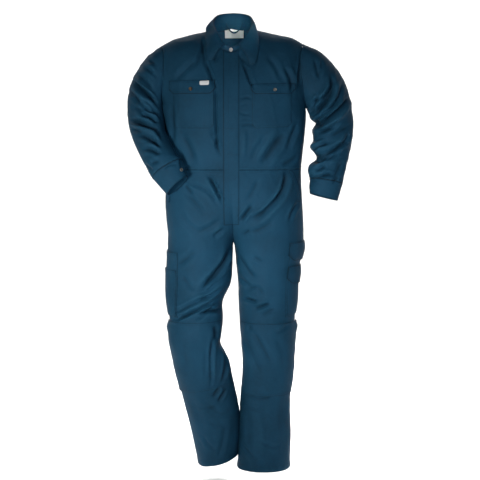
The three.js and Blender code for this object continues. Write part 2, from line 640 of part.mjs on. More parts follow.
// Trouser fronts and backs
const legColumns = (face) => {
  const start = face === "front" ? 0 : 0.5;
  return steps(start + 0.0006, start + 0.4994, GRID.legAcross);
};
const legRows = (side) => [
  ...steps(1, 0, GRID.hipUp).map((t) => mix(CROTCH_Z, WAIST_Z - SEAM_GAP, t ** 1.5)),
  ...steps(0, 1, GRID.legUp)
    .slice(1)
    .map((t) => mix(CROTCH_Z, LEG[side.name].at(-1).z, t ** 1.25)),
];
for (const side of SIDES) {
  for (const face of ["front", "back"]) {
    addPiece(
      `leg_${face}_${side.name}`,
      clothWall((around, z) => legPoint(side, around, z), legColumns(face), legRows(side), {
        folds: frontFolds,
        hint: face === "front" ? forwards : backwards,
      }),
    );
  }
}

// Sleeves and cuffs
for (const side of SIDES) {
  const around = steps(0, 1, 2 * GRID.armholeUp).slice(0, -1);
  const hint = (point) => point.clone().sub(sleeveTube(side, around[around.length / 2] + 0.5, 0.5));
  const tube = (turn, long) => sleevePoint(side, turn, long);
  addPiece(
    `sleeve_${side.name}`,
    clothWall(tube, around, steps(0.002, CUFF_START - 0.0005, GRID.sleeveLong), {
      folds: (_, normal, turn, long) => sleeveFold(side, turn, long),
      hint,
      closed: true,
    }),
  );
  addPiece(
    `cuff_${side.name}`,
    clothWall(tube, around, steps(CUFF_START + 0.0005, 1, 3), {
      hint,
      closed: true,
      lift: () => 0.3,
      thick: 2.2,
    }),
  );
}

// Placket, from the neckline to below the hips
{
  const columns = steps(PLACKET.right, PLACKET.left, 6);
  const topAt = (x) => {
    const side = x < 0 ? SIDES[0] : SIDES[1];
    return neckPoint(side, (Math.asin(Math.abs(x) / NECK.half) * 180) / Math.PI).z - 3;
  };
  addPiece(
    "placket",
    clothWall(
      (x, down) => bodyPoint("front", x, mix(topAt(x), PLACKET.bottom, down)),
      columns,
      steps(0, 1, 26),
      { folds: frontFolds, hint: forwards, lift: () => LAYER + 0.3 },
    ),
  );
}

// How far a sewn-on piece's middle stands off the panel at a place (u across, v down)
const patchNamed = (name) => [...FRONT_PATCHES, ...LEG_PATCHES].find((entry) => entry.name === name);
function patchLift(patch, u, v) {
  const own = LAYER + (patch.clear ?? 0) + patch.belly * belly(clamp(u, 0, 1), clamp(v, 0, 1));
  if (!patch.on) return own;
  const under = patchNamed(patch.on);
  const [left, right, high, low] =
    "from" in patch ? ["from", "to", "top", "bottom"] : ["x0", "x1", "top0", "bottom0"];
  const share = (value, from, to) => (value - under[from]) / (under[to] - under[from]);
  return (
    own +
    patchLift(
      under,
      share(mix(patch[left], patch[right], u), left, right),
      share(mix(patch[high], patch[low], v), high, low),
    )
  );
}

// Chest pockets, their flaps and the tag
for (const patch of FRONT_PATCHES) {
  const pointAt = (u, v) => {
    const cut = patch.corner * clamp(1 - Math.min(u, 1 - u) * 10, 0, 1);
    const [top, bottom] = [mix(patch.top0, patch.top1, u), mix(patch.bottom0, patch.bottom1, u) + cut];
    return bodyPoint("front", mix(patch.x0, patch.x1, u), mix(top, bottom, v));
  };
  const columns = patch.corner ? [0, 0.1, 0.26, 0.42, 0.58, 0.74, 0.9, 1] : [0, 0.5, 1];
  addPiece(
    patch.name,
    clothWall(pointAt, columns, steps(0, 1, patch.name.includes("pocket") ? 5 : 2), {
      folds: frontFolds,
      hint: forwards,
      lift: (u, v) => patchLift(patch, u, v),
      thick: patch.name === "flap_tag" ? 1 : CLOTH,
    }),
    patch.name === "flap_tag" ? COLOUR.label : COLOUR.twill,
  );
}

// Edges of the hip pockets
for (const side of SIDES) {
  const pointAt = (across, down) => {
    const z = mix(HIP_EDGE.top, HIP_EDGE.bottom, down);
    const slant = mix(HIP_EDGE.topX, HIP_EDGE.bottomX, Math.sin((Math.PI / 2) * down));
    const narrower = side.name === "right" ? 16 : 0;
    return bodyPoint("front", side.sign * (slant - narrower - HIP_EDGE.wide * across), z);
  };
  addPiece(
    `hip_pocket_edge_${side.name}`,
    clothWall(pointAt, steps(0, 1, 1), steps(0, 1, 6), {
      folds: frontFolds,
      hint: forwards,
      lift: () => LAYER,
    }),
  );
}

// Pockets, flaps and patches on the legs, on the same lines as the panels under them
for (const patch of LEG_PATCHES) {
  const side = SIDES.find((entry) => entry.name === patch.side);
  const between = (values, from, to, least) => [
    from,
    ...values.filter((value) => {
      const nearest = Math.min(Math.abs(value - from), Math.abs(value - to));
      return (value - from) * (value - to) < 0 && nearest > least;
    }),
    to,
  ];
  const places = [...legColumns("front"), ...legColumns("back").slice(1)];
  const across = between(places, patch.from, patch.to, 0.004);
  const down = between(legRows(side), patch.top, patch.bottom, 8);
  const share = (value, from, to) => (value - from) / (to - from);
  const pointAt = (around, z) => {
    const u = share(around, patch.from, patch.to);
    const nearSide = clamp(1 - Math.min(u, 1 - u) * 8, 0, 1);
    const cut = patch.corner * nearSide * share(z, patch.top, patch.bottom);
    return legPoint(side, around, z + cut);
  };
  addPiece(
    patch.name,
    clothWall(pointAt, across, down, {
      folds: frontFolds,
      hint: (point) => point.clone().sub(legPoint(side, (patch.from + patch.to) / 2 + 0.5, point.z)),
      lift: (i, j, around, z) =>
        patchLift(
          patch,
          share(around, patch.from, patch.to),
          share(z, patch.top, patch.bottom),
        ),
    }),
  );
}

// Collar: the stand rises from the neckline, and the leaf turns over from its top
const collarAt = (turn, column) => read(COLLAR, "turn", column, turn);
function collarPoint(side, turn, line) {
  return new THREE.Vector3(
    collarAt(turn, `${line}Off`) + side.sign * collarAt(turn, `${line}X`),
    collarAt(turn, `${line}Y`),
    collarAt(turn, `${line}Z`),
  );
}
function leafPoint(whole, drop) {
  const side = whole < 0 ? SIDES[0] : SIDES[1];
  const turn = 1 - Math.abs(whole) * (1 - LEAF_START);
  const [fold, edge] = [collarPoint(side, turn, "fold"), collarPoint(side, turn, "edge")];
  const away = new THREE.Vector3(edge.x - collarAt(turn, "edgeOff"), edge.y, 0).normalize();
  away.z = 0.5;
  const swell = mix(8, 3, ease(2 * turn)) * 4 * drop * (1 - drop);
  const droop = side.name === "left" ? drop * drop * ease((0.34 - turn) / 0.24) : 0;
  return fold
    .lerp(edge, drop)
    .addScaledVector(away, swell)
    .add(new THREE.Vector3(LEAF_DROOP.x * droop, LEAF_DROOP.y * droop, LEAF_DROOP.z * droop));
}
function standPoint(whole, rise) {
  const side = whole < 0 ? SIDES[0] : SIDES[1];
  const turn = Math.max(0, 1 - Math.abs(whole));
  const neck = neckPoint(side, collarAt(turn, "neck"));
  neck.z += 1.3 * CLOTH;
  const fold = collarPoint(side, turn, "fold");
  const inwards = new THREE.Vector3(collarAt(turn, "foldOff") - fold.x, -fold.y, 0).normalize();
  fold.addScaledVector(inwards, 1.2 * CLOTH).z -= 1.2 * CLOTH;
  return neck.lerp(fold, rise);
}
const upwardsHint = (point) => new THREE.Vector3(point.x, point.y, 40);
addPiece(
  "collar_leaf",
  clothWall(leafPoint, steps(-1, 1, 26), [0, 0.12, 0.3, 0.5, 0.75, 1], { hint: upwardsHint, thick: 1.8 }),
);
addPiece(
  "collar_stand",
  clothWall(standPoint, steps(-0.998, 0.998, 26), steps(0, 1, 2), {
    hint: (point) => new THREE.Vector3(point.x, point.y, 0),
    thick: 1.8,
  }),
);

// Neck label on the inside of the back, and the hanging loop in front of it
addPiece(
  "neck_label",
  clothWall(
    (across, down) => {
      const x = NECK_LABEL.x + NECK_LABEL.width * (across - 0.5);
      return bodyPoint("back", x, mix(NECK_LABEL.top, NECK_LABEL.bottom, down));
    },
    steps(0, 1, 4),
    steps(0, 1, 3),
    { hint: backwards, lift: () => -LAYER, thick: 1 },
  ),
  COLOUR.label,
);
addPiece(
  "hanger_loop",
  clothWall(
    (across, rise) => {
      const hang = Math.sin(Math.PI * across) ** 0.8;
      const x = LOOP.x + LOOP.width * (across - 0.5);
      const z = LOOP.top - LOOP.sag * hang + LOOP.tape * (rise - 0.5);
      return new THREE.Vector3(x, LOOP.y - 9 * hang, z);
    },
    steps(0, 1, 8),
    steps(0, 1, 1),
    { hint: forwards, thick: 1.4 },
  ),
);

// Snap fasteners: the collar's, one on each chest flap and one on each cuff
function addSnap(name, pointAt, u, v, lift, outwards, colour) {
  const centre = pointAt(u, v);
  const along = pointAt(u + 0.01, v).sub(pointAt(u - 0.01, v));
  const normal = along.cross(pointAt(u, v + 0.01).sub(pointAt(u, v - 0.01))).normalize();
  if (normal.dot(outwards) < 0) normal.negate();
  const profile = [
    [0, 0],
    [SNAP.radius, 0],
    [SNAP.radius, 0.45 * SNAP.height],
    [0.78 * SNAP.radius, SNAP.height],
    [0.6 * SNAP.radius, 0.72 * SNAP.height],
    [0, 0.72 * SNAP.height],
  ].map(([r, y]) => new THREE.Vector2(r, y));
  const snap = addPiece(name, new THREE.LatheGeometry(profile, 18), colour, 0.35, 1);
  snap.position.copy(centre.addScaledVector(normal, lift + CLOTH / 2 + SNAP.clear));
  snap.quaternion.setFromUnitVectors(new THREE.Vector3(0, 1, 0), normal);
}
for (const [name, x, z, colour] of [
  ["right", -133, -206, COLOUR.bronze],
  ["left", 144, -209, COLOUR.steel],
]) {
  const flap = patchNamed(`chest_flap_${name}`);
  const across = (x - flap.x0) / (flap.x1 - flap.x0);
  const lift = patchLift(flap, across, (z - flap.top0) / (flap.bottom0 - flap.top0));
  addSnap(`snap_chest_${name}`, (u, v) => bodyPoint("front", u, v), x, z, lift, forwards(), colour);
}
const standFront = (u, v) => new THREE.Vector3(u, -84.2, v);
addSnap("snap_collar", standFront, -0.3, -74, 0.6, forwards(), COLOUR.steel);
for (const [side, around] of [
  [SIDES[0], 0.09],
  [SIDES[1], 0.62],
]) {
  const tube = (u, v) => sleevePoint(side, u, v);
  const middle = tube(around, SNAP.cuffLong).add(tube(around + 0.5, SNAP.cuffLong)).multiplyScalar(0.5);
  const outwards = tube(around, SNAP.cuffLong).sub(middle);
  addSnap(`snap_cuff_${side.name}`, tube, around, SNAP.cuffLong, 0.6, outwards, COLOUR.steel);
}

export default suit;
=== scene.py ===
"""A work boiler suit with no wearer, dressed for its photograph.

The suit's sewn pieces are rebuilt as fine closed walls of cloth on the forms of the part's
solids, with their folds, seams, hems and stitching. Lengths in the tables are millimetres, in
the part's own frame: +Z up, -Y the front, the origin in the middle of the neck opening at
shoulder height. "right" and "left" are the wearer's, so right is -X.
"""

from __future__ import annotations

import logging
import math
from dataclasses import dataclass, field
from enum import Enum
from typing import Iterable, Sequence

import bpy
import numpy as np
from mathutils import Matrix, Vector
from mathutils.bvhtree import BVHTree

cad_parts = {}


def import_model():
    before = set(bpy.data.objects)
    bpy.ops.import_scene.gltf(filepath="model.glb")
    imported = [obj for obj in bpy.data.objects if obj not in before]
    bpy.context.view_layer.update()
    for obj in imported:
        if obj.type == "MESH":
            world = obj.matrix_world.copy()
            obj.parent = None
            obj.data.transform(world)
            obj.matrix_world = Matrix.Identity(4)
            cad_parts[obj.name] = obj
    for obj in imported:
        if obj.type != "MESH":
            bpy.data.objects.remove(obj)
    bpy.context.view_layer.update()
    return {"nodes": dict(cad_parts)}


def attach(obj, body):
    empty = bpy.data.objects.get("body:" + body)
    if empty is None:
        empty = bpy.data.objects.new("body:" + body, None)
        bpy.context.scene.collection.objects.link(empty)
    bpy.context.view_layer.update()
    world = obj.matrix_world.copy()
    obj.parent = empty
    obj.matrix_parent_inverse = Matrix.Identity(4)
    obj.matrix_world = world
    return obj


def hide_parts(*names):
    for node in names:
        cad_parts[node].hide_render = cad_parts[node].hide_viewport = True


LOG = logging.getLogger("boiler_suit")
MM = 0.001

# ---------------------------------------------------------------- the suit's main sizes

CLOTH = 1.6  # wall of a single layer, with its seam allowances
LAYER = 2.4  # from the middle of one layer to the middle of a layer that lies on it
UNDERARM_Z = -259.0
WAIST_Z = -475.0
CROTCH_Z = -725.0
CROTCH_X = 7.0
TORSO_ROUND = 2.3  # exponent of the body's sections; 2 is an ellipse
NECK_HALF, NECK_FRONT, NECK_BACK = 80.0, 82.0, 60.0
PLACKET_RIGHT, PLACKET_LEFT, PLACKET_BOTTOM = -26.0, 27.0, -661.0
SEAM_GAP = 0.3
ARMHOLE_GAP = 0.15
CUFF_START = 11 / 12  # share of a sleeve's length
BODY_CLEAR = 3.0  # least way from the body to a sleeve
CAP_EASE = 0.35  # share of a sleeve over which it leaves the armhole's form
LEAF_START = 0.1  # how far round the neck the leaf begins
LABEL_WALL = 1.0
THIGH_GIRTH = 560.0
UNDERARM_LIFT = 2.3  # of the body's side beside the right sleeve
CENTRE_LIFT = 0.6  # of the trousers beside the seam between the legs
KNEE_CORNER = 5.5  # of the knee patches' outer top corners
LEAF_DROOP = np.array([2.0, -3.0, -15.0])  # of the collar's left point
GRID_MM = 4.5  # size of a panel's grid squares
FINE_MM = 3.3  # the same where fine folds show
LEG_FRONT_MM = 3.9  # the same on the trousers' fronts
COARSE_MM = 5.2  # the same on the trousers' backs
SLEEVE_MM = 3.5  # the same along the sleeves
SLEEVE_ROUND = 128  # grid squares round a sleeve
SEAM_LINES = (1.0, 2.4, 8.6, 10.8)  # grid lines beside an edge, to shape its seam
DOUBLE = (1.8, 7.6)  # the two rows of a felled seam, from the edge
PATCH_ROWS = (2.2, 8.0)  # the same on a sewn-on piece


class Side(Enum):
    """The wearer's right and left: a name and the sign of X."""

    RIGHT = ("right", -1.0)
    LEFT = ("left", 1.0)

    @property
    def title(self) -> str:
        """The name."""
        return self.value[0]

    @property
    def sign(self) -> float:
        """The sign of X."""
        return self.value[1]

    def owns(self, x: np.ndarray) -> np.ndarray:
        """Whether places at a distance from the centre line lie on this side."""
        return x < 0 if self is Side.RIGHT else x >= 0


class Face(Enum):
    """The front and the back of the suit, and the side of a sleeve next to the body."""

    FRONT = "front"
    BACK = "back"
    INNER = "inner"


class Region(Enum):
    """Groups of folds that belong to the same stretch of cloth."""

    BODY = "body"
    LEG_RIGHT = "leg_right"
    LEG_LEFT = "leg_left"
    ARM_RIGHT = "arm_right"
    ARM_LEFT = "arm_left"


class Table:
    """Rows of sizes with named columns, read along the first column on a smooth curve."""

    def __init__(self, columns: str, *rows: Sequence[float]) -> None:
        self.names = columns.split()
        data = np.array(rows, float)
        self.rows = data[np.argsort(data[:, 0])]

    def read(self, column: str, at: np.ndarray) -> np.ndarray:
        """Reads one column.

        Args:
            column: the column's name.
            at: values of the first column.

        Returns:
            The column's values there.
        """
        keys, values = self.rows[:, 0], self.rows[:, self.names.index(column)]
        last = len(keys) - 1
        before = np.maximum(np.arange(last + 1) - 1, 0)
        after = np.minimum(np.arange(last + 1) + 1, last)
        slopes = (values[after] - values[before]) / (keys[after] - keys[before])
        inside = np.clip(np.asarray(at, float), keys[0], keys[-1])
        i = np.clip(np.searchsorted(keys, inside, side="right") - 1, 0, last - 1)
        span = keys[i + 1] - keys[i]
        t = (inside - keys[i]) / span
        return (
            (2 * t**3 - 3 * t**2 + 1) * values[i]
            + (t**3 - 2 * t**2 + t) * span * slopes[i]
            + (3 * t**2 - 2 * t**3) * values[i + 1]
            + (t**3 - t**2) * span * slopes[i + 1]
        )


def evenly(columns: str, *rows: Sequence[float]) -> Table:
    """A table whose rows are evenly spaced from 0 to 1 along a first column named long."""
    last = len(rows) - 1
    return Table("long " + columns, *[(n / last, *row) for n, row in enumerate(rows)])


TORSO = Table(
    "z right left front back",
    (WAIST_Z, 222, 240, 130, 120),
    (-412, 222, 246, 136, 124),
    (-370, 224, 250, 140, 130),
    (-310, 228, 254, 142, 137),
    (UNDERARM_Z, 240, 254, 139, 140),
)

ARMHOLE = Table(
    "rise right left fill",
    (0, 240, 254, 1),
    (0.12, 235, 246, 0.95),
    (0.3, 230, 237, 0.905),
    (0.55, 229, 234, 0.89),
    (0.8, 235, 243, 0.885),
    (1, 245, 257, 0.885),
)

SHOULDER = Table(
    "x right left front back",
    (0, 14, 14, 1.45, 2.9),
    (80, -8, -3, 1.6, 2.6),
    (140, -20, -15, 1.9, 2.4),
    (200, -40, -31, 2.15, 2.3),
    (257, -69, -57, 2.3, 2.3),
)

LEGS = {
    Side.RIGHT: Table(
        "z centre half yc front back round lean",
        (WAIST_Z, 0, 222, 0, 130, 120, 2.3, 0),
        (-540, 33.6, 193.4, 0, 132, 128, 2.25, 0),
        (-600, 65.6, 165.4, 0, 130, 134, 2.2, 0),
        (-660, 92.7, 136.3, 0, 125, 136, 2.15, 0),
        (-700, 107.4, 118.6, 0, 119, 134, 2.1, 0),
        (CROTCH_Z, 113.5, 113.5, -2, 115, 130, 2.1, 0),
        (-808, 116, 112, -12, 108, 117, 2.1, 0),
        (-870, 119, 107, -24, 101, 108, 2.1, 0),
        (-932, 131, 93, -40, 97, 101, 2.1, 0),
        (-994, 128, 91, -55, 94, 94, 2.1, 0.02),
        (-1050, 132, 89, -62, 91, 90, 2.1, 0.05),
        (-1085, 131, 85, -59, 88, 88, 2.1, 0.07),
        (-1121, 119, 90, -52, 86, 88, 2.1, 0.09),
        (-1165, 108, 94, -40, 86, 90, 2.05, 0.12),
        (-1210, 99, 94, -26, 85, 91, 2.05, 0.14),
        (-1255, 89, 92, -10, 84, 90, 2.05, 0.17),
        (-1347, 70, 89, 12, 84, 88, 2.05, 0.2),
        (-1440, 58, 82, 28, 87, 88, 2, 0.23),
        (-1514, 54, 71, 34, 89, 90, 2, 0.25),
    ),
    Side.LEFT: Table(
        "z centre half yc front back round lean",
        (WAIST_Z, 0, 240, 0, 130, 120, 2.3, 0),
        (-540, 35.7, 205.3, 0, 132, 128, 2.25, 0),
        (-600, 68.8, 173.2, 0, 130, 134, 2.2, 0),
        (-660, 98.4, 144.6, 0, 125, 136, 2.15, 0),
        (-700, 115.4, 127.6, 0, 119, 134, 2.1, 0),
        (CROTCH_Z, 121.5, 121.5, 0, 115, 130, 2.1, 0),
        (-767, 122, 115, 0, 110, 122, 2.1, 0),
        (-809, 119, 107, 0, 106, 116, 2.1, 0),
        (-873, 118, 99, -1, 101, 108, 2.1, 0),
        (-937, 118, 98, -3, 97, 102, 2.1, 0),
        (-1001, 118, 95, -5, 93, 97, 2.1, 0),
        (-1086, 121, 92, -5, 89, 92, 2.05, 0),
        (-1151, 121, 88, -3, 86, 89, 2.05, 0),
        (-1215, 118, 87, 0, 84, 87, 2.05, 0),
        (-1280, 113, 86, 3, 82, 85, 2.05, 0),
        (-1411, 111, 89, 4, 80, 83, 2, 0),
        (-1534, 106, 93, 0, 80, 81, 2, 0),
    ),
}

SLEEVES = {
    Side.RIGHT: evenly(
        "inX inY inZ outX outY outZ deep",
        (241, 0, -259, 245, 0, -64, 74),
        (241.5, 0, -270, 279, 0, -86, 81),
        (239, -1, -282, 314, -1, -128, 83),
        (235.5, -4, -296, 341, -3, -178, 82),
        (231.5, -12, -311, 354, -8, -232, 78),
        (229, -24, -328, 355, -16, -286, 73),
        (225, -40, -347, 350, -28, -330, 68),
        (215, -62, -368, 337, -46, -374, 64),
        (202, -85, -391, 318, -68, -413, 60),
        (189, -106, -413, 298, -92, -449, 56),
        (178, -124, -429, 279, -110, -479, 53),
        (168, -132, -439, 263, -121, -503, 46),
        (147, -146, -497, 212, -143, -558, 36),
    ),
    Side.LEFT: evenly(
        "inX inY inZ outX outY outZ deep",
        (255, 0, -259, 257, 0, -57, 74),
        (262, 0, -273, 300, 1, -74, 81),
        (268, 0, -287, 343, 2, -111, 84),
        (275, 1, -302, 380, 4, -162, 82),
        (281, 2, -320, 404, 5, -222, 78),
        (284, 3, -343, 417, 6, -284, 74),
        (284, 1, -371, 420, 4, -336, 70),
        (283, -4, -399, 416, -1, -382, 66),
        (281, -12, -427, 408, -10, -422, 63),
        (275, -21, -456, 397, -20, -463, 60),
        (268, -30, -484, 388, -30, -497, 57),
        (269, -37, -508, 381, -37, -525, 50),
        (271, -43, -560, 363, -45, -584, 38),
    ),
}

COLLAR = Table(
    "turn neck foldOff foldX foldY foldZ edgeOff edgeX edgeY edgeZ",
    (0, 0, 0, 0, -87, -63, 0, 50, -101, -109),
    (0.1, 14, 0, 21, -86, -56, 0, 60, -101, -109),
    (0.2, 25, 2, 34, -77, -42, 1, 80, -101, -107),
    (0.35, 45, 5, 53, -52, -12, 4, 87, -82, -70),
    (0.5, 72, 6, 65, -14, 14, 3, 89, -49, -30),
    (0.65, 100, 6, 67, 12, 32, -1, 84, -6, 3),
    (0.8, 130, 6, 57, 38, 49, 0, 72, 47, 3),
    (0.9, 153, 6, 35, 54, 57, 3, 42, 70, 2),
    (1, 180, 6, 0, 62, 60, 4, 0, 79, 3),
)


@dataclass(frozen=True)
class FrontPatch:
    """A piece sewn on the chest, by its corners as seen from the front."""

    name: str
    middle: tuple[float, float, float]  # x, top and bottom at the edge towards the placket
    side: tuple[float, float, float]  # the same at the edge towards the arm
    corner: float = 0.0
    belly: float = 2.0
    on: str = ""
    clear: float = 0.0


FRONT_PATCHES = (
    FrontPatch("chest_pocket_right", (-57, -190, -336), (-194, -190, -336), corner=12),
    FrontPatch("chest_pocket_left", (70, -200, -337), (203, -196, -331), corner=12),
    FrontPatch("chest_flap_right", (-54, -176, -222), (-206, -178, -222), 15, on="chest_pocket_right"),
    FrontPatch("chest_flap_left", (66, -190, -224), (213, -186, -220), 15, on="chest_pocket_left"),
    FrontPatch("flap_tag", (-73, -180, -194), (-104, -180, -194), 0, 0, "chest_flap_right", -0.4),
)


@dataclass(frozen=True)
class LegPatch:
    """A piece sewn on a leg: places around the leg and heights."""

    name: str
    side: Side
    around: tuple[float, float]
    heights: tuple[float, float]
    belly: float = 3.0
    corner: float = 0.0
    on: str = ""
    clear: float = 0.0


LEG_PATCHES = (
    LegPatch("knee_patch_right", Side.RIGHT, (0.063, 0.4994), (-992, -1236), clear=0.2),
    LegPatch("knee_patch_left", Side.LEFT, (0.02, 0.4994), (-1004, -1262)),
    LegPatch("ruler_pocket_right", Side.RIGHT, (0.36, 0.63), (-759, -978), clear=0.5),
    LegPatch("tool_pocket_right", Side.RIGHT, (0.366, 0.624), (-819, -974), on="ruler_pocket_right"),
    LegPatch("thigh_pocket_left", Side.LEFT, (0.352, 0.63), (-736, -984)),
    LegPatch("phone_pocket_left", Side.LEFT, (0.362, 0.62), (-816, -978), on="thigh_pocket_left"),
    LegPatch("thigh_flap_left", Side.LEFT, (0.34, 0.64), (-725, -786), 4, 18, "thigh_pocket_left"),
    LegPatch("phone_flap_left", Side.LEFT, (0.35, 0.632), (-806, -866), 4, 18, "phone_pocket_left"),
)


@dataclass(frozen=True)
class Crease:
    """A fold of the cloth as seen from the front or the back.

    path runs over the cloth in X and Z, out is how far it stands out (in, below 0), wide is
    half its width, ridge the share by which the cloth beside it rises, lean makes one side
    steeper than the other and sharp is how pinched its bottom is (2 is round).
    """

    path: tuple[tuple[float, float], ...]
    out: float
    wide: float
    ridge: float = 0.35
    lean: float = 0.0
    sharp: float = 1.35
    fade: tuple[float, float] = (0.35, 0.35)


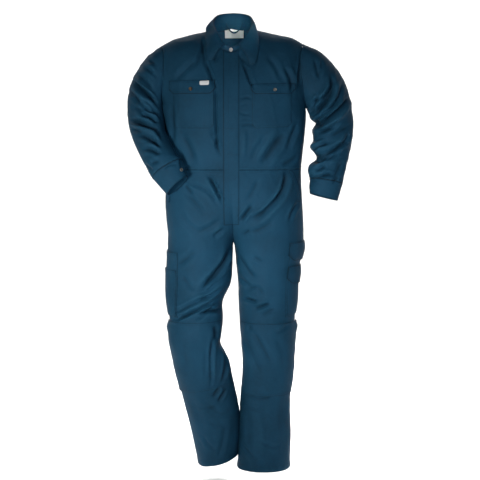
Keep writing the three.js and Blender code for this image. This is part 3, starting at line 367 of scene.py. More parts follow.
CREASES: dict[tuple[Region, Face], tuple[Crease, ...]] = {
    (Region.BODY, Face.FRONT): (
        # chest and shoulders, the wearer's right
        Crease(((-190, -178), (-150, -140), (-112, -104)), -4, 15),
        Crease(((-88, -40), (-100, -80), (-118, -130)), -4, 10),
        Crease(((-99, -28), (-95, -66), (-87, -122)), -5, 7, 0.2),
        Crease(((87, -20), (86, -70), (82, -132)), -5, 7, 0.2),
        Crease(((38, -96), (52, -118), (66, -134)), -5, 7, 0.2),
        Crease(((-60, -114), (-46, -97), (-34, -80)), -6, 7, 0.2),
        Crease(((24, -80), (34, -101), (46, -122)), -6, 7, 0.2),
        Crease(((-86, -108), (-66, -160), (-50, -204)), -6, 8, lean=0.3),
        Crease(((-50, -200), (-50, -300), (-46, -420)), -5, 7, 0.6, fade=(0.2, 0.2)),
        Crease(((-72, -336), (-54, -370), (-33, -432)), -4.5, 8),
        Crease(((-206, -250), (-196, -330), (-204, -410)), -4, 16, sharp=2),
        Crease(((-170, -350), (-140, -400), (-120, -462)), -4, 18, sharp=2),
        Crease(((-205, -420), (-180, -440), (-150, -452)), -3.5, 11),
        # chest and shoulders, the wearer's left
        Crease(((36, -112), (51, -150), (64, -186), (78, -204)), -7, 8, lean=-0.3),
        Crease(((30, -240), (50, -231), (74, -238)), -3, 7),
        Crease(((34, -262), (56, -254)), -1.8, 6),
        Crease(((28, -281), (48, -292), (66, -288)), -2.6, 7),
        Crease(((36, -309), (58, -300)), -1.8, 6),
        Crease(((28, -330), (52, -322), (84, -326)), -2.8, 7),
        Crease(((240, -92), (233, -140), (228, -190)), -6, 8),
        Crease(((178, -132), (204, -172), (199, -222)), -5, 12, 0.5),
        Crease(((120, -92), (150, -130), (168, -176)), -3, 14, sharp=2),
        Crease(((224, -318), (202, -372), (188, -412)), -5, 12),
        Crease(((182, -348), (140, -400), (102, -460)), -6.5, 22, 0.45, sharp=2),
        Crease(((120, -356), (88, -404), (66, -448)), -3, 15, sharp=2),
        Crease(((45, -335), (42, -440)), 3, 12, 0.2, sharp=2),
        Crease(((232, -424), (206, -446), (170, -462)), -4, 11),
        # hips and crotch, the wearer's right
        Crease(((-79, -488), (-50, -536), (-27, -588)), -9, 7, 0.5, lean=0.3, sharp=1.3),
        Crease(((-160, -524), (-128, -556)), -5.5, 10),
        Crease(((-146, -516), (-90, -536), (-62, -562), (-42, -598)), -4, 10),
        Crease(((-168, -534), (-106, -600), (-84, -632)), -4, 13),
        Crease(((-62, -704), (-26, -676)), -5, 10, 0.5),
        Crease(((-120, -690), (-70, -668), (-34, -640)), -4, 13),
        Crease(((-180, -610), (-150, -660), (-100, -690)), -3, 16, sharp=2),
        # hips and crotch, the wearer's left
        Crease(
            ((187, -482), (180, -526), (165, -562), (131, -596), (104, -622), (68, -640)),
            -8, 13, 0.5, lean=-0.25, fade=(0.2, 0.25),
        ),
        Crease(((72, -592), (50, -622), (28, -652)), -7, 10, 0.5, sharp=1.4),
        Crease(((234, -588), (210, -612), (196, -654)), -5, 10, 0.5),
        Crease(((172, -542), (148, -580)), -3.5, 10),
        Crease(((150, -640), (110, -672), (62, -690)), -4, 13),
        Crease(((96, -500), (74, -548), (52, -580)), -3, 12),
        Crease(((38, -700), (64, -678)), -4, 9),
    ),
    (Region.BODY, Face.BACK): (
        Crease(((-168, -130), (-150, -220), (-160, -300)), -3, 24, 0.5, sharp=2),
        Crease(((176, -140), (152, -230), (160, -310)), -3, 24, 0.5, sharp=2),
        Crease(((-210, -240), (-180, -262), (-140, -270)), -3.5, 14),
        Crease(((216, -236), (186, -262), (150, -276)), -3.5, 13),
        Crease(((-70, -350), (-40, -400), (-30, -462)), -4, 16, sharp=2),
        Crease(((60, -340), (74, -410), (60, -465)), -5, 16, sharp=2),
        Crease(((-190, -380), (-150, -430), (-130, -468)), -5, 16),
        Crease(((196, -370), (160, -420), (120, -465)), -5, 16),
        Crease(((-180, -500), (-120, -520), (-60, -510)), -5, 12, 0.5),
        Crease(((190, -496), (130, -524), (60, -516)), -5, 12, 0.5),
        Crease(((-20, -560), (-60, -620), (-120, -668)), -4.5, 15),
        Crease(((26, -566), (70, -626), (130, -672)), -5, 15),
        Crease(((-8, -620), (-30, -680), (-70, -716)), -6, 12, 0.5),
        Crease(((20, -630), (46, -690), (86, -722)), -6, 12, 0.5),
        Crease(((-200, -560), (-170, -620), (-160, -680)), -3.5, 18, sharp=2),
        Crease(((212, -560), (184, -622), (172, -690)), -3.5, 18, sharp=2),
    ),
    (Region.LEG_RIGHT, Face.FRONT): (
        Crease(((-2, -738), (-14, -788), (-56, -836), (-104, -884)), -11, 12, 0.5, 0.35, 1.4),
        Crease(((-16, -848), (-62, -900), (-110, -930)), 5, 18, 0.2, sharp=2),
        Crease(((-8, -790), (-34, -826), (-70, -858)), -6, 8, 0.5),
        Crease(((-30, -874), (-74, -906), (-120, -916)), -6, 8, 0.5),
        Crease(((-112, -742), (-150, -776), (-190, -800)), -4, 14),
        Crease(((-60, -902), (-107, -918), (-155, -940), (-194, -966)), -5, 10, 0.5),
        Crease(((-62, -928), (-107, -946), (-155, -970), (-198, -990)), -8, 9, 0.5, 0.3, 1.4),
        Crease(((-34, -956), (-73, -951), (-112, -962)), -9, 9, 0.45, sharp=1.4),
        Crease(((-44, -930), (-90, -958)), -4.5, 7),
        Crease(((-78, -962), (-124, -982)), -4.5, 7),
        Crease(((-84, -1082), (-88, -1140), (-80, -1200)), -3, 12, 0.3, sharp=2),
        Crease(((-68, -1100), (-66, -1170)), 2, 10, 0.1, sharp=2),
        Crease(((-62, -1040), (-72, -1085), (-70, -1150), (-72, -1222)), -7, 8, 0.5),
        Crease(((-58, -1002), (-52, -1030), (-57, -1058)), -6, 13, 0.3, sharp=2),
        Crease(((-24, -1090), (-20, -1150), (-34, -1210)), -7, 8, 0.5),
        Crease(((-38, -1224), (-64, -1262)), -7, 8, 0.5),
        Crease(((-16, -1236), (-46, -1282)), -7, 8, 0.5),
        Crease(((-96, -1270), (-39, -1336), (14, -1312)), -2, 15, 0.5),
        Crease(((-140, -1262), (-110, -1330), (-96, -1410)), -1.6, 16, 0.5),
        Crease(((-20, -1360), (-30, -1430), (-46, -1490)), -3, 12, 0.5),
        Crease(((-104, -1400), (-84, -1440), (-50, -1462)), -3, 10, 0.5),
        Crease(((-150, -1010), (-158, -1090), (-146, -1160)), -1.6, 18, sharp=2),
        Crease(((-118, -1290), (-80, -1306), (-44, -1296)), -1.8, 9, 0.5),
        Crease(((-90, -1350), (-50, -1372), (-18, -1366)), -2, 9, 0.5),
        Crease(((-170, -830), (-140, -870), (-118, -880)), -3.5, 13),
    ),
    (Region.LEG_LEFT, Face.FRONT): (
        Crease(((46, -892), (91, -870), (114, -912)), -4, 10),
        Crease(((42, -918), (92, -928)), -7, 8, 0.5),
        Crease(((78, -952), (136, -932)), -7, 9, 0.5),
        Crease(((104, -976), (152, -948)), -4, 10),
        Crease(((74, -772), (112, -790)), -4, 9),
        Crease(((22, -768), (60, -830), (92, -850)), -5, 14),
        Crease(((30, -850), (70, -880)), -4, 10),
        Crease(((66, -1006), (64, -1034)), -3, 9, 0.4),
        Crease(((70, -1018), (105, -1078), (146, -1152)), -4, 12, 0.5),
        Crease(((40, -1050), (74, -1120), (110, -1190)), -2.8, 13, 0.5),
        Crease(((150, -1040), (178, -1110), (186, -1180)), -2, 16, sharp=2),
        Crease(((52, -1262), (100, -1274), (150, -1262)), -4, 10, 0.4),
        Crease(((180, -1270), (172, -1350), (182, -1470)), -1.5, 18, 0.5, sharp=2),
        Crease(((54, -1300), (64, -1380), (58, -1480)), -1.6, 16, 0.5, sharp=2),
        Crease(((104, -1290), (126, -1380), (118, -1500)), -1.8, 15, 0.5),
        Crease(((30, -1440), (66, -1470), (90, -1500)), -3, 10, 0.5),
        Crease(((36, -1290), (80, -1316), (130, -1308)), -2.2, 9, 0.5),
        Crease(((96, -1420), (140, -1446), (176, -1438)), -2, 9, 0.5),
        Crease(((196, -1010), (170, -1030), (150, -1034)), -3.5, 10),
    ),
    (Region.LEG_RIGHT, Face.BACK): (
        Crease(((-20, -760), (-70, -800), (-130, -812)), -6, 14, 0.5),
        Crease(((-34, -840), (-90, -872), (-150, -876)), -5, 14, 0.5),
        Crease(((-52, -1000), (-100, -1022), (-170, -1012)), -8, 12, 0.5),
        Crease(((-56, -1056), (-110, -1044), (-190, -1064)), -9, 12, 0.5, sharp=1.4),
        Crease(((-40, -1100), (-90, -1112), (-160, -1096)), -7, 12, 0.5),
        Crease(((-60, -1160), (-110, -1148), (-150, -1170)), -5, 13, 0.5),
        Crease(((-110, -1220), (-90, -1320), (-76, -1420)), -5, 18, sharp=2),
        Crease(((-40, -1280), (-30, -1380), (-34, -1480)), -4, 16, sharp=2),
        Crease(((-120, -900), (-136, -950), (-130, -990)), -4, 15),
    ),
    (Region.LEG_LEFT, Face.BACK): (
        Crease(((26, -756), (80, -796), (150, -806)), -6, 14, 0.5),
        Crease(((40, -850), (100, -880), (170, -872)), -5, 15, 0.5),
        Crease(((46, -1020), (110, -1040), (190, -1022)), -6, 13, 0.5),
        Crease(((52, -1080), (120, -1072), (186, -1092)), -7, 12, 0.5),
        Crease(((50, -1130), (110, -1142), (180, -1128)), -5, 13, 0.5),
        Crease(((150, -1180), (160, -1300), (150, -1420)), -5, 20, sharp=2),
        Crease(((70, -1200), (64, -1320), (72, -1480)), -4.5, 18, sharp=2),
        Crease(((110, -900), (96, -960), (110, -1000)), -3.5, 16),
    ),
    (Region.ARM_RIGHT, Face.FRONT): (
        Crease(((-343, -168), (-292, -212), (-256, -243), (-226, -274)), -10, 10, 0.5, 0.3, 1.4),
        Crease(((-350, -204), (-308, -250), (-276, -282), (-236, -294)), -6, 10, 0.5),
        Crease(((-348, -308), (-310, -320), (-265, -334), (-224, -358)), -10, 11, 0.5, -0.3, 1.4),
        Crease(((-308, -289), (-268, -304), (-244, -323)), -7, 9, 0.5),
        Crease(((-263, -337), (-224, -371), (-199, -414)), -6, 8, 0.5),
        Crease(((-214, -438), (-196, -430), (-178, -438)), -5, 7),
        Crease(((-226, -471), (-205, -456), (-176, -453)), -5, 6),
        Crease(((-172, -426), (-165, -468)), -8, 6),
        Crease(((-286, -102), (-243, -126), (-228, -150)), -5, 10),
        Crease(((-248, -136), (-234, -208)), -4, 10),
        Crease(((-316, -356), (-276, -366), (-240, -392)), -6, 10, 0.5),
        Crease(((-300, -404), (-262, -406), (-222, -428)), -5, 9, 0.5),
        Crease(((-268, -452), (-232, -442)), -4, 9),
        Crease(((-318, -250), (-280, -262)), 4, 12, 0.1, sharp=2),
        Crease(((-300, -128), (-262, -150), (-240, -176)), -4, 8),
        Crease(((-330, -150), (-292, -172), (-262, -206)), -4, 8),
        Crease(((-300, -236), (-262, -268), (-236, -312)), -6, 8, 0.5),
        Crease(((-330, -262), (-290, -286), (-252, -322)), -5, 8, 0.5),
        Crease(((-338, -340), (-296, -350)), -4, 9),
        Crease(((-268, -372), (-226, -400)), -6, 8, 0.5),
        Crease(((-246, -410), (-206, -420)), -5, 8, 0.5),
        Crease(((-292, -456), (-262, -476)), -4, 9),
    ),
    (Region.ARM_LEFT, Face.FRONT): (
        Crease(((360, -196), (318, -250), (274, -304)), -11, 14, 0.5, 0.2, 1.6),
        Crease(((340, -152), (343, -200), (315, -232), (284, -246), (256, -256)), -7, 9, 0.5),
        Crease(((372, -168), (350, -215), (324, -260)), 5, 9, 0.1, sharp=2),
        Crease(((380, -184), (361, -241), (321, -286)), -6, 8, 0.4),
        Crease(((404, -230), (361, -276), (326, -303), (294, -326)), -10, 9, 0.5, -0.3, 1.4),
        Crease(((396, -276), (350, -312), (300, -346)), 4, 11, 0.2, sharp=2),
        Crease(((400, -378), (353, -410), (296, -436)), -8, 10, 0.5, 0.2, 1.4),
        Crease(((372, -408), (322, -450)), -5, 9),
        Crease(((280, -508), (325, -493), (350, -492)), -6, 8, 0.5),
        Crease(((384, -446), (343, -518)), -4, 12),
        Crease(((283, -102), (297, -174)), -4, 9),
        Crease(((309, -108), (300, -158)), -3, 8),
        Crease(((408, -326), (372, -348), (330, -366)), -4, 12),
        Crease(((300, -216), (278, -262), (270, -300)), -6, 8, 0.5),
        Crease(((330, -270), (300, -296), (284, -330)), -6, 8, 0.5),
        Crease(((352, -330), (318, -346), (288, -352)), -5, 8, 0.5),
        Crease(((330, -384), (300, -396), (280, -416)), -6, 8, 0.5),
        Crease(((346, -424), (310, -442), (278, -452)), -7, 8, 0.5),
        Crease(((320, -462), (290, -480)), -5, 8, 0.5),
        Crease(((400, -350), (388, -392)), -3, 10),
        Crease(((372, -500), (340, -528)), -4, 9),
    ),
    (Region.ARM_LEFT, Face.INNER): (
        Crease(((256, -320), (320, -326)), -7, 16, 0.4),
        Crease(((262, -436), (322, -440)), -10, 24, 0.4, sharp=2),
        Crease(((262, -400), (322, -396)), 2, 14, 0.1, sharp=2),
        Crease(((262, -482), (322, -486)), 3, 12, 0.1, sharp=2),
        Crease(((262, -514), (322, -518)), -6, 15, 0.3),
    ),
    (Region.ARM_RIGHT, Face.INNER): (
        Crease(((-250, -300), (-220, -306)), 2, 30, 0.0, sharp=2),
        Crease(((-236, -392), (-190, -380)), -6, 15, 0.4),
        Crease(((-210, -432), (-164, -418)), -6, 13, 0.4),
    ),
    (Region.ARM_RIGHT, Face.BACK): (
        Crease(((-340, -190), (-290, -230), (-240, -262)), -8, 13, 0.5),
        Crease(((-350, -270), (-300, -296), (-240, -300)), -7, 12, 0.5),
        Crease(((-344, -330), (-290, -346), (-236, -338)), -7, 12, 0.5),
        Crease(((-320, -380), (-260, -396)), -5, 12, 0.5),
        Crease(((-280, -120), (-262, -190)), -4, 13),
        Crease(((-286, -446), (-232, -452)), -4, 10),
    ),
    (Region.ARM_LEFT, Face.BACK): (
        Crease(((374, -180), (320, -240), (268, -280)), -8, 14, 0.5),
        Crease(((406, -250), (350, -290), (290, -310)), -7, 12, 0.5),
        Crease(((412, -330), (350, -352), (296, -346)), -6, 12, 0.5),
        Crease(((404, -400), (350, -412), (292, -440)), -7, 12, 0.5),
        Crease(((296, -110), (290, -190)), -4, 13),
        Crease(((380, -480), (320, -492)), -5, 11),
    ),
}


# ---------------------------------------------------------------- small mathematics


def mix(a: np.ndarray, b: np.ndarray, t: np.ndarray) -> np.ndarray:
    """The value a share t of the way from a to b."""
    return a + (b - a) * t


def ease(t: np.ndarray) -> np.ndarray:
    """A smooth step from 0 to 1."""
    t = np.clip(t, 0, 1)
    return t * t * (3 - 2 * t)


def power(value: np.ndarray, exponent: np.ndarray) -> np.ndarray:
    """A power that keeps the value's sign."""
    return np.sign(value) * np.abs(value) ** exponent


def stack(x: np.ndarray, y: np.ndarray, z: np.ndarray) -> np.ndarray:
    """Points from their coordinates."""
    return np.stack(np.broadcast_arrays(x, y, z), axis=-1)


def unit(vectors: np.ndarray) -> np.ndarray:
    """The vectors at length 1."""
    return vectors / np.maximum(np.linalg.norm(vectors, axis=-1, keepdims=True), 1e-9)


def wander(points: np.ndarray, length: float, seed: int) -> np.ndarray:
    """A smooth uneven field in space, mostly from -1 to 1.

    Args:
        points: places in millimetres.
        length: about the distance from one swell to the next.
        seed: which field.

    Returns:
        The field's value at each place.
    """
    rng = np.random.default_rng(seed)
    ways = unit(rng.normal(size=(16, 3))) * (2 * np.pi / length)
    ways = ways * rng.uniform(0.6, 1.5, size=(16, 1))
    phases = rng.uniform(0, 2 * np.pi, size=16)
    return np.sin(points @ ways.T + phases).sum(axis=-1) / 4.0


# ---------------------------------------------------------------- forms shared with the solids


def centre_x(z: np.ndarray) -> np.ndarray:
    """Where the suit's centre line stands at a height."""
    return CROTCH_X * ease((WAIST_Z - z) / (WAIST_Z - CROTCH_Z))


def bulge(share: np.ndarray) -> np.ndarray:
    """How far the body's section reaches at a share of its half-width."""
    return (1 - np.minimum(1, np.abs(share)) ** TORSO_ROUND) ** (1 / TORSO_ROUND)


def spread(share: np.ndarray) -> np.ndarray:
    """The distance from the centre line at a share of a panel's width."""
    return np.sin(np.pi / 2 * share) ** (2 / TORSO_ROUND)


def spread_share(ratio: np.ndarray) -> np.ndarray:
    """The share of a panel's width at a distance from the centre line."""
    return 2 / np.pi * np.arcsin(np.clip(ratio, 0, 1) ** (TORSO_ROUND / 2))


def torso_point(side: Side, face: Face, share: np.ndarray, level: np.ndarray) -> np.ndarray:
    """A point of the upper body.

    Args:
        side: the wearer's side.
        face: front or back.
        share: from the centre (0) to the side seam or armhole (1).
        level: 0 at the waist seam, 1 at the underarm, 2 at the shoulder or neckline.

    Returns:
        The points.
    """
    share, level = np.broadcast_arrays(np.asarray(share, float), np.asarray(level, float))
    out = -1.0 if face is Face.FRONT else 1.0
    z = mix(WAIST_Z, UNDERARM_Z, np.minimum(level, 1))
    half = TORSO.read(side.title, z)
    x = half * spread(share)
    lower = stack(side.sign * x, out * TORSO.read(face.value, z) * bulge(x / half), z)
    rise = np.maximum(level - 1, 0)
    depth = float(TORSO.read(face.value, UNDERARM_Z))
    edge, top_edge = ARMHOLE.read(side.title, rise), float(ARMHOLE.read(side.title, 1))
    x, top_x = edge * spread(share), top_edge * spread(share)
    reach = depth * bulge(x / edge * ARMHOLE.read("fill", rise))
    top_reach = depth * bulge(top_x / top_edge * float(ARMHOLE.read("fill", 1)))
    neck_depth = NECK_FRONT if face is Face.FRONT else NECK_BACK
    neck = neck_depth * np.sqrt(np.maximum(0, 1 - (top_x / NECK_HALF) ** 2))
    turn = rise * np.arccos((neck / top_reach) ** (SHOULDER.read(face.value, top_x) / 2))
    round_here = SHOULDER.read(face.value, x)
    upper = stack(
        side.sign * x,
        out * reach * np.maximum(0, np.cos(turn)) ** (2 / round_here),
        UNDERARM_Z
        + (SHOULDER.read(side.title, x) - UNDERARM_Z) * np.sin(turn) ** (2 / round_here),
    )
    return np.where((level <= 1)[..., None], lower, upper)


def meeting_angle(side: Side, z: np.ndarray) -> np.ndarray:
    """Where a leg's ring ends at the centre seam, as an angle from its outer side."""
    leg = LEGS[side]
    share = np.clip(leg.read("centre", z) / leg.read("half", z), 0, 1)
    share = np.where(np.asarray(z) > CROTCH_Z, share, 1)
    return np.arccos(-(share ** (leg.read("round", z) / 2)))


def leg_point(side: Side, around: np.ndarray, z: np.ndarray) -> np.ndarray:
    """A point of a leg.

    Args:
        side: the wearer's side.
        around: 0 at the centre front or inseam, 0.5 at the side seam, 1 at the centre back.
        z: height.

    Returns:
        The points.
    """
    around, z = np.broadcast_arrays(np.asarray(around, float), np.asarray(z, float))
    leg = LEGS[side]
    half, turn = leg.read("half", z), 2 / leg.read("round", z)
    angle = meeting_angle(side, z) * (1 - 2 * around)
    x = half * power(np.cos(angle), turn)
    depth = np.where(angle > 0, leg.read("front", z), leg.read("back", z))
    apart = mix(SEAM_GAP / 2, CLOTH / 2 + SEAM_GAP, ease((-600 - z) / 90))
    nearest = apart - ease((-800 - z) / 90) * 60
    return stack(
        centre_x(z) + side.sign * np.maximum(nearest, leg.read("centre", z) + x),
        leg.read("yc", z) - depth * power(np.sin(angle), turn),
        z - leg.read("lean", z) * x,
    )


def sleeve_tube(side: Side, around: np.ndarray, long: np.ndarray) -> np.ndarray:
    """A ring of a sleeve's tube, before it is fitted to the armhole."""
    around, long = np.broadcast_arrays(np.asarray(around, float), np.asarray(long, float))
    table = SLEEVES[side]

    def line(which: str, at: np.ndarray) -> np.ndarray:
        return stack(*(table.read(which + axis, at) for axis in "XYZ"))

    def middle(at: np.ndarray) -> np.ndarray:
        return (line("in", at) + line("out", at)) / 2

    across = (line("out", long) - line("in", long)) / 2
    ahead, behind = np.minimum(1, long + 0.02), np.maximum(0, long - 0.02)
    axis = unit(middle(ahead) - middle(behind))
    forwards = unit(np.cross(axis, across))
    forwards = np.where(forwards[..., 1:2] > 0, -forwards, forwards)
    turn = (2 * np.pi * around)[..., None]
    point = middle(long) - across * np.cos(turn)
    point = point + forwards * table.read("deep", long)[..., None] * np.sin(turn)
    return point * np.array([side.sign, 1, 1])


def clear_of_body(side: Side, point: np.ndarray) -> np.ndarray:
    """Moves points of a sleeve that would lie inside the body out of it."""
    z = np.maximum(WAIST_Z, point[..., 2])
    half = TORSO.read(side.title, z) + BODY_CLEAR
    depth = TORSO.read("front", z) + BODY_CLEAR
    inside = (np.abs(point[..., 0]) / half) ** TORSO_ROUND
    inside = inside + (np.abs(point[..., 1]) / depth) ** TORSO_ROUND
    out = np.where(inside < 1, np.maximum(inside, 1e-6) ** (-1 / TORSO_ROUND), 1)
    out = np.where(point[..., 2] > UNDERARM_Z - 2, 1, out)
    return point * stack(out, out, np.ones_like(out))


def sleeve_point(side: Side, around: np.ndarray, long: np.ndarray) -> np.ndarray:
    """A point of a sleeve.

    Args:
        side: the wearer's side.
        around: 0 at the underarm seam, 0.25 in front, 0.5 on top, 0.75 behind.
        long: 0 at the armhole, 1 at the end of the cuff.

    Returns:
        The points.
    """
    around, long = np.broadcast_arrays(np.asarray(around, float), np.asarray(long, float))
    around = around % 1.0
    on_front = around <= 0.5
    level = 1 + 2 * np.where(on_front, around, 1 - around)
    edge = np.where(
        on_front[..., None],
        torso_point(side, Face.FRONT, 1.0, level),
        torso_point(side, Face.BACK, 1.0, level),
    )
    edge = edge + np.array([side.sign * ARMHOLE_GAP, 0, 0]) - sleeve_tube(side, around, 0.0)
    point = sleeve_tube(side, around, long)
    return clear_of_body(side, point + edge * (1 - ease(long / CAP_EASE))[..., None])


def body_point(face: Face, x: np.ndarray, z: np.ndarray) -> np.ndarray:
    """The front or back of the body at places given as seen from the front."""
    x, z = np.broadcast_arrays(np.asarray(x, float), np.asarray(z, float))
    found = np.zeros((*x.shape, 3))
    for side in Side:
        leg = LEGS[side]
        meeting = meeting_angle(side, z)
        ratio = (np.abs(x - centre_x(z)) - leg.read("centre", z)) / leg.read("half", z)
        angle = np.arccos(power(np.clip(ratio, -1, 1), leg.read("round", z) / 2))
        turn = np.minimum(meeting, angle) / meeting / 2
        below = leg_point(side, 0.5 - turn if face is Face.FRONT else 0.5 + turn, z)
        low, high = np.zeros(x.shape), np.full(x.shape, 2.0)
        for _ in range(18):
            level = (low + high) / 2
            half = np.where(
                level <= 1,
                TORSO.read(side.title, mix(WAIST_Z, UNDERARM_Z, np.minimum(level, 1))),
                ARMHOLE.read(side.title, np.maximum(level - 1, 0)),
            )
            place = torso_point(side, face, spread_share(np.abs(x) / half), level)
            lower = place[..., 2] < z
            low, high = np.where(lower, level, low), np.where(lower, high, level)
        point = np.where((z <= WAIST_Z)[..., None], below, place)
        found = np.where(side.owns(x - centre_x(z))[..., None], point, found)
    return found


def neck_point(side: Side, angle: np.ndarray) -> np.ndarray:
    """The neckline at an angle in degrees from the centre front."""
    share = spread_share(NECK_HALF * np.sin(np.radians(angle)) / ARMHOLE.read(side.title, 1))
    front = torso_point(side, Face.FRONT, share, 2.0)
    back = torso_point(side, Face.BACK, share, 2.0)
    return np.where((np.asarray(angle) < 90)[..., None], front, back)


def collar_point(side: Side, turn: np.ndarray, line: str) -> np.ndarray:
    """A point of the collar's fold line or outer edge."""
    x = COLLAR.read(f"{line}Off", turn) + side.sign * COLLAR.read(f"{line}X", turn)
    return stack(x, COLLAR.read(f"{line}Y", turn), COLLAR.read(f"{line}Z", turn))


def leaf_point(whole: np.ndarray, drop: np.ndarray) -> np.ndarray:
    """The collar's leaf from end to end (-1 to 1), from its fold (0) to its edge (1)."""
    whole, drop = np.broadcast_arrays(np.asarray(whole, float), np.asarray(drop, float))
    found = np.zeros((*whole.shape, 3))
    turn = 1 - np.abs(whole) * (1 - LEAF_START)
    for side in Side:
        fold, edge = collar_point(side, turn, "fold"), collar_point(side, turn, "edge")
        away = unit(stack(edge[..., 0] - COLLAR.read("edgeOff", turn), edge[..., 1], 0 * turn))
        away = away + np.array([0, 0, 0.5])
        swell = mix(8, 3, ease(2 * turn)) * 4 * drop * (1 - drop)
        point = mix(fold, edge, drop[..., None]) + away * swell[..., None]
        if side is Side.LEFT:
            point = point + LEAF_DROOP * (drop**2 * ease((0.34 - turn) / 0.24))[..., None]
        found = np.where(side.owns(whole)[..., None], point, found)
    return found


def stand_point(whole: np.ndarray, rise: np.ndarray) -> np.ndarray:
    """The collar's stand from end to end, from the neckline (0) to the leaf's fold (1)."""
    whole, rise = np.broadcast_arrays(np.asarray(whole, float), np.asarray(rise, float))
    found = np.zeros((*whole.shape, 3))
    turn = np.maximum(0, 1 - np.abs(whole))
    for side in Side:
        neck = neck_point(side, COLLAR.read("neck", turn)) + np.array([0, 0, 1.3 * CLOTH])
        fold = collar_point(side, turn, "fold")
        inwards = stack(COLLAR.read("foldOff", turn) - fold[..., 0], -fold[..., 1], 0 * turn)
        fold = fold + unit(inwards) * 1.2 * CLOTH - np.array([0, 0, 1.2 * CLOTH])
        point = mix(neck, fold, rise[..., None])
        found = np.where(side.owns(whole)[..., None], point, found)
    return found


# ---------------------------------------------------------------- how the cloth folds


def rounded(path: Sequence[tuple[float, float]]) -> np.ndarray:
    """A path with its corners rounded off."""
    line = np.array(path, float)
    for _ in range(3):
        if len(line) < 3:
            break
        first = line[:-1] * 0.75 + line[1:] * 0.25
        second = line[:-1] * 0.25 + line[1:] * 0.75
        cut = np.stack([first, second], axis=1).reshape(-1, 2)
        line = np.concatenate([line[:1], cut[1:-1], line[-1:]])
    return line


def crease_height(crease: Crease, x: np.ndarray, z: np.ndarray, width: float) -> np.ndarray:
    """How far one fold, made narrower by width, moves the cloth at places in a view."""
    path = rounded(crease.path)
    reach = 4.2 * crease.wide
    near = (x > path[:, 0].min() - reach) & (x < path[:, 0].max() + reach)
    near &= (z > path[:, 1].min() - reach) & (z < path[:, 1].max() + reach)
    height = np.zeros(x.shape)
    if not near.any():
        return height
    place = np.stack([x[near], z[near]], axis=-1)
    steps = np.linalg.norm(np.diff(path, axis=0), axis=1)
    start = np.concatenate([[0], np.cumsum(steps)])
    best = np.full(len(place), 1e9)
    along, side = np.zeros(len(place)), np.ones(len(place))
    for n, step in enumerate(steps):
        way = (path[n + 1] - path[n]) / max(step, 1e-6)
        rest = place - path[n]
        t = np.clip(rest @ way, 0, step)
        off = np.linalg.norm(rest - t[:, None] * way, axis=1)
        closer = off < best
        best = np.where(closer, off, best)
        along = np.where(closer, (start[n] + t) / start[-1], along)
        side = np.where(closer, np.sign(rest[:, 0] * way[1] - rest[:, 1] * way[0]), side)
    wide = width * crease.wide * (1 + crease.lean * side)
    weight = ease(along / crease.fade[0] + 0.15) * ease((1 - along) / crease.fade[1] + 0.15)
    trough = np.exp(-((best / wide) ** crease.sharp))
    flank = np.exp(-(((best - 2.0 * wide) / (0.95 * wide)) ** 2))
    height[near] = crease.out * weight * (trough - crease.ridge * flank)
    return height


@dataclass(frozen=True)
class Drape:
    """The fine uneven folds of a stretch of cloth: their way over it, spacing and height."""

    way: tuple[float, float]
    length: float
    height: float
    seed: int
    depth: float = 1.0  # of the folds in CREASES, against their table
    width: float = 0.65  # the same of their width

    def at(self, points: np.ndarray) -> np.ndarray:
        """How far these folds move the cloth at each place."""
        dx, dz = np.array(self.way) / math.hypot(*self.way)
        along = points[..., 0] * dx + points[..., 2] * dz
        across = points[..., 0] * dz - points[..., 2] * dx
        place = stack(along / 3.2, across, points[..., 1] * 0.8)
        swell = wander(place, self.length, self.seed)
        pinch = 1 - np.abs(wander(place + 300, self.length * 1.1, self.seed + 1))
        strength = 0.55 + 0.45 * wander(points, 210, self.seed + 2)
        return self.height * strength * (0.6 * swell + np.clip(pinch, 0, 1) ** 2.5 - 0.3)


DRAPES = {
    Region.BODY: Drape((0.15, -1), 90, 1.1, 31, 1.3, 0.62),
    Region.LEG_RIGHT: Drape((0.1, -1), 80, 1.3, 41, 1.3, 0.64),
    Region.LEG_LEFT: Drape((-0.12, -1), 80, 1.3, 51, 1.3, 0.64),
    Region.ARM_RIGHT: Drape((0.75, -0.66), 46, 1.9, 61, 1.7, 0.72),
    Region.ARM_LEFT: Drape((-0.75, -0.66), 46, 1.9, 71, 1.7, 0.72),
}


def relief(points: np.ndarray, normals: np.ndarray, regions: Iterable[Region]) -> np.ndarray:
    """How far the cloth's folds move it out at each place.

    Args:
        points: places on the smooth form.
        normals: directions out of the suit there.
        regions: which stretches of cloth the folds are taken from.

    Returns:
        Distances in millimetres.
    """
    x, y_way, z = points[..., 0], normals[..., 1], points[..., 2]
    total = np.zeros(x.shape)
    shares = {
        Face.FRONT: ease(0.35 - 1.5 * y_way),
        Face.BACK: ease(0.35 + 1.5 * y_way),
        Face.INNER: ease(-0.1 - 1.3 * normals[..., 0] * np.sign(x)),
    }
    lower = ease((-560 - z) / 200)
    for region in regions:
        drape = DRAPES[region]
        for face, share in shares.items():
            for crease in CREASES.get((region, face), ()):
                total = total + drape.depth * share * crease_height(crease, x, z, drape.width)
        weight = {Region.BODY: 1 - lower, Region.LEG_RIGHT: lower, Region.LEG_LEFT: lower}
        total = total + weight.get(region, 1.0) * drape.at(points)
    return total + 1.2 * wander(points * np.array([1, 1, 0.5]), 120, 3)


# ---------------------------------------------------------------- panels


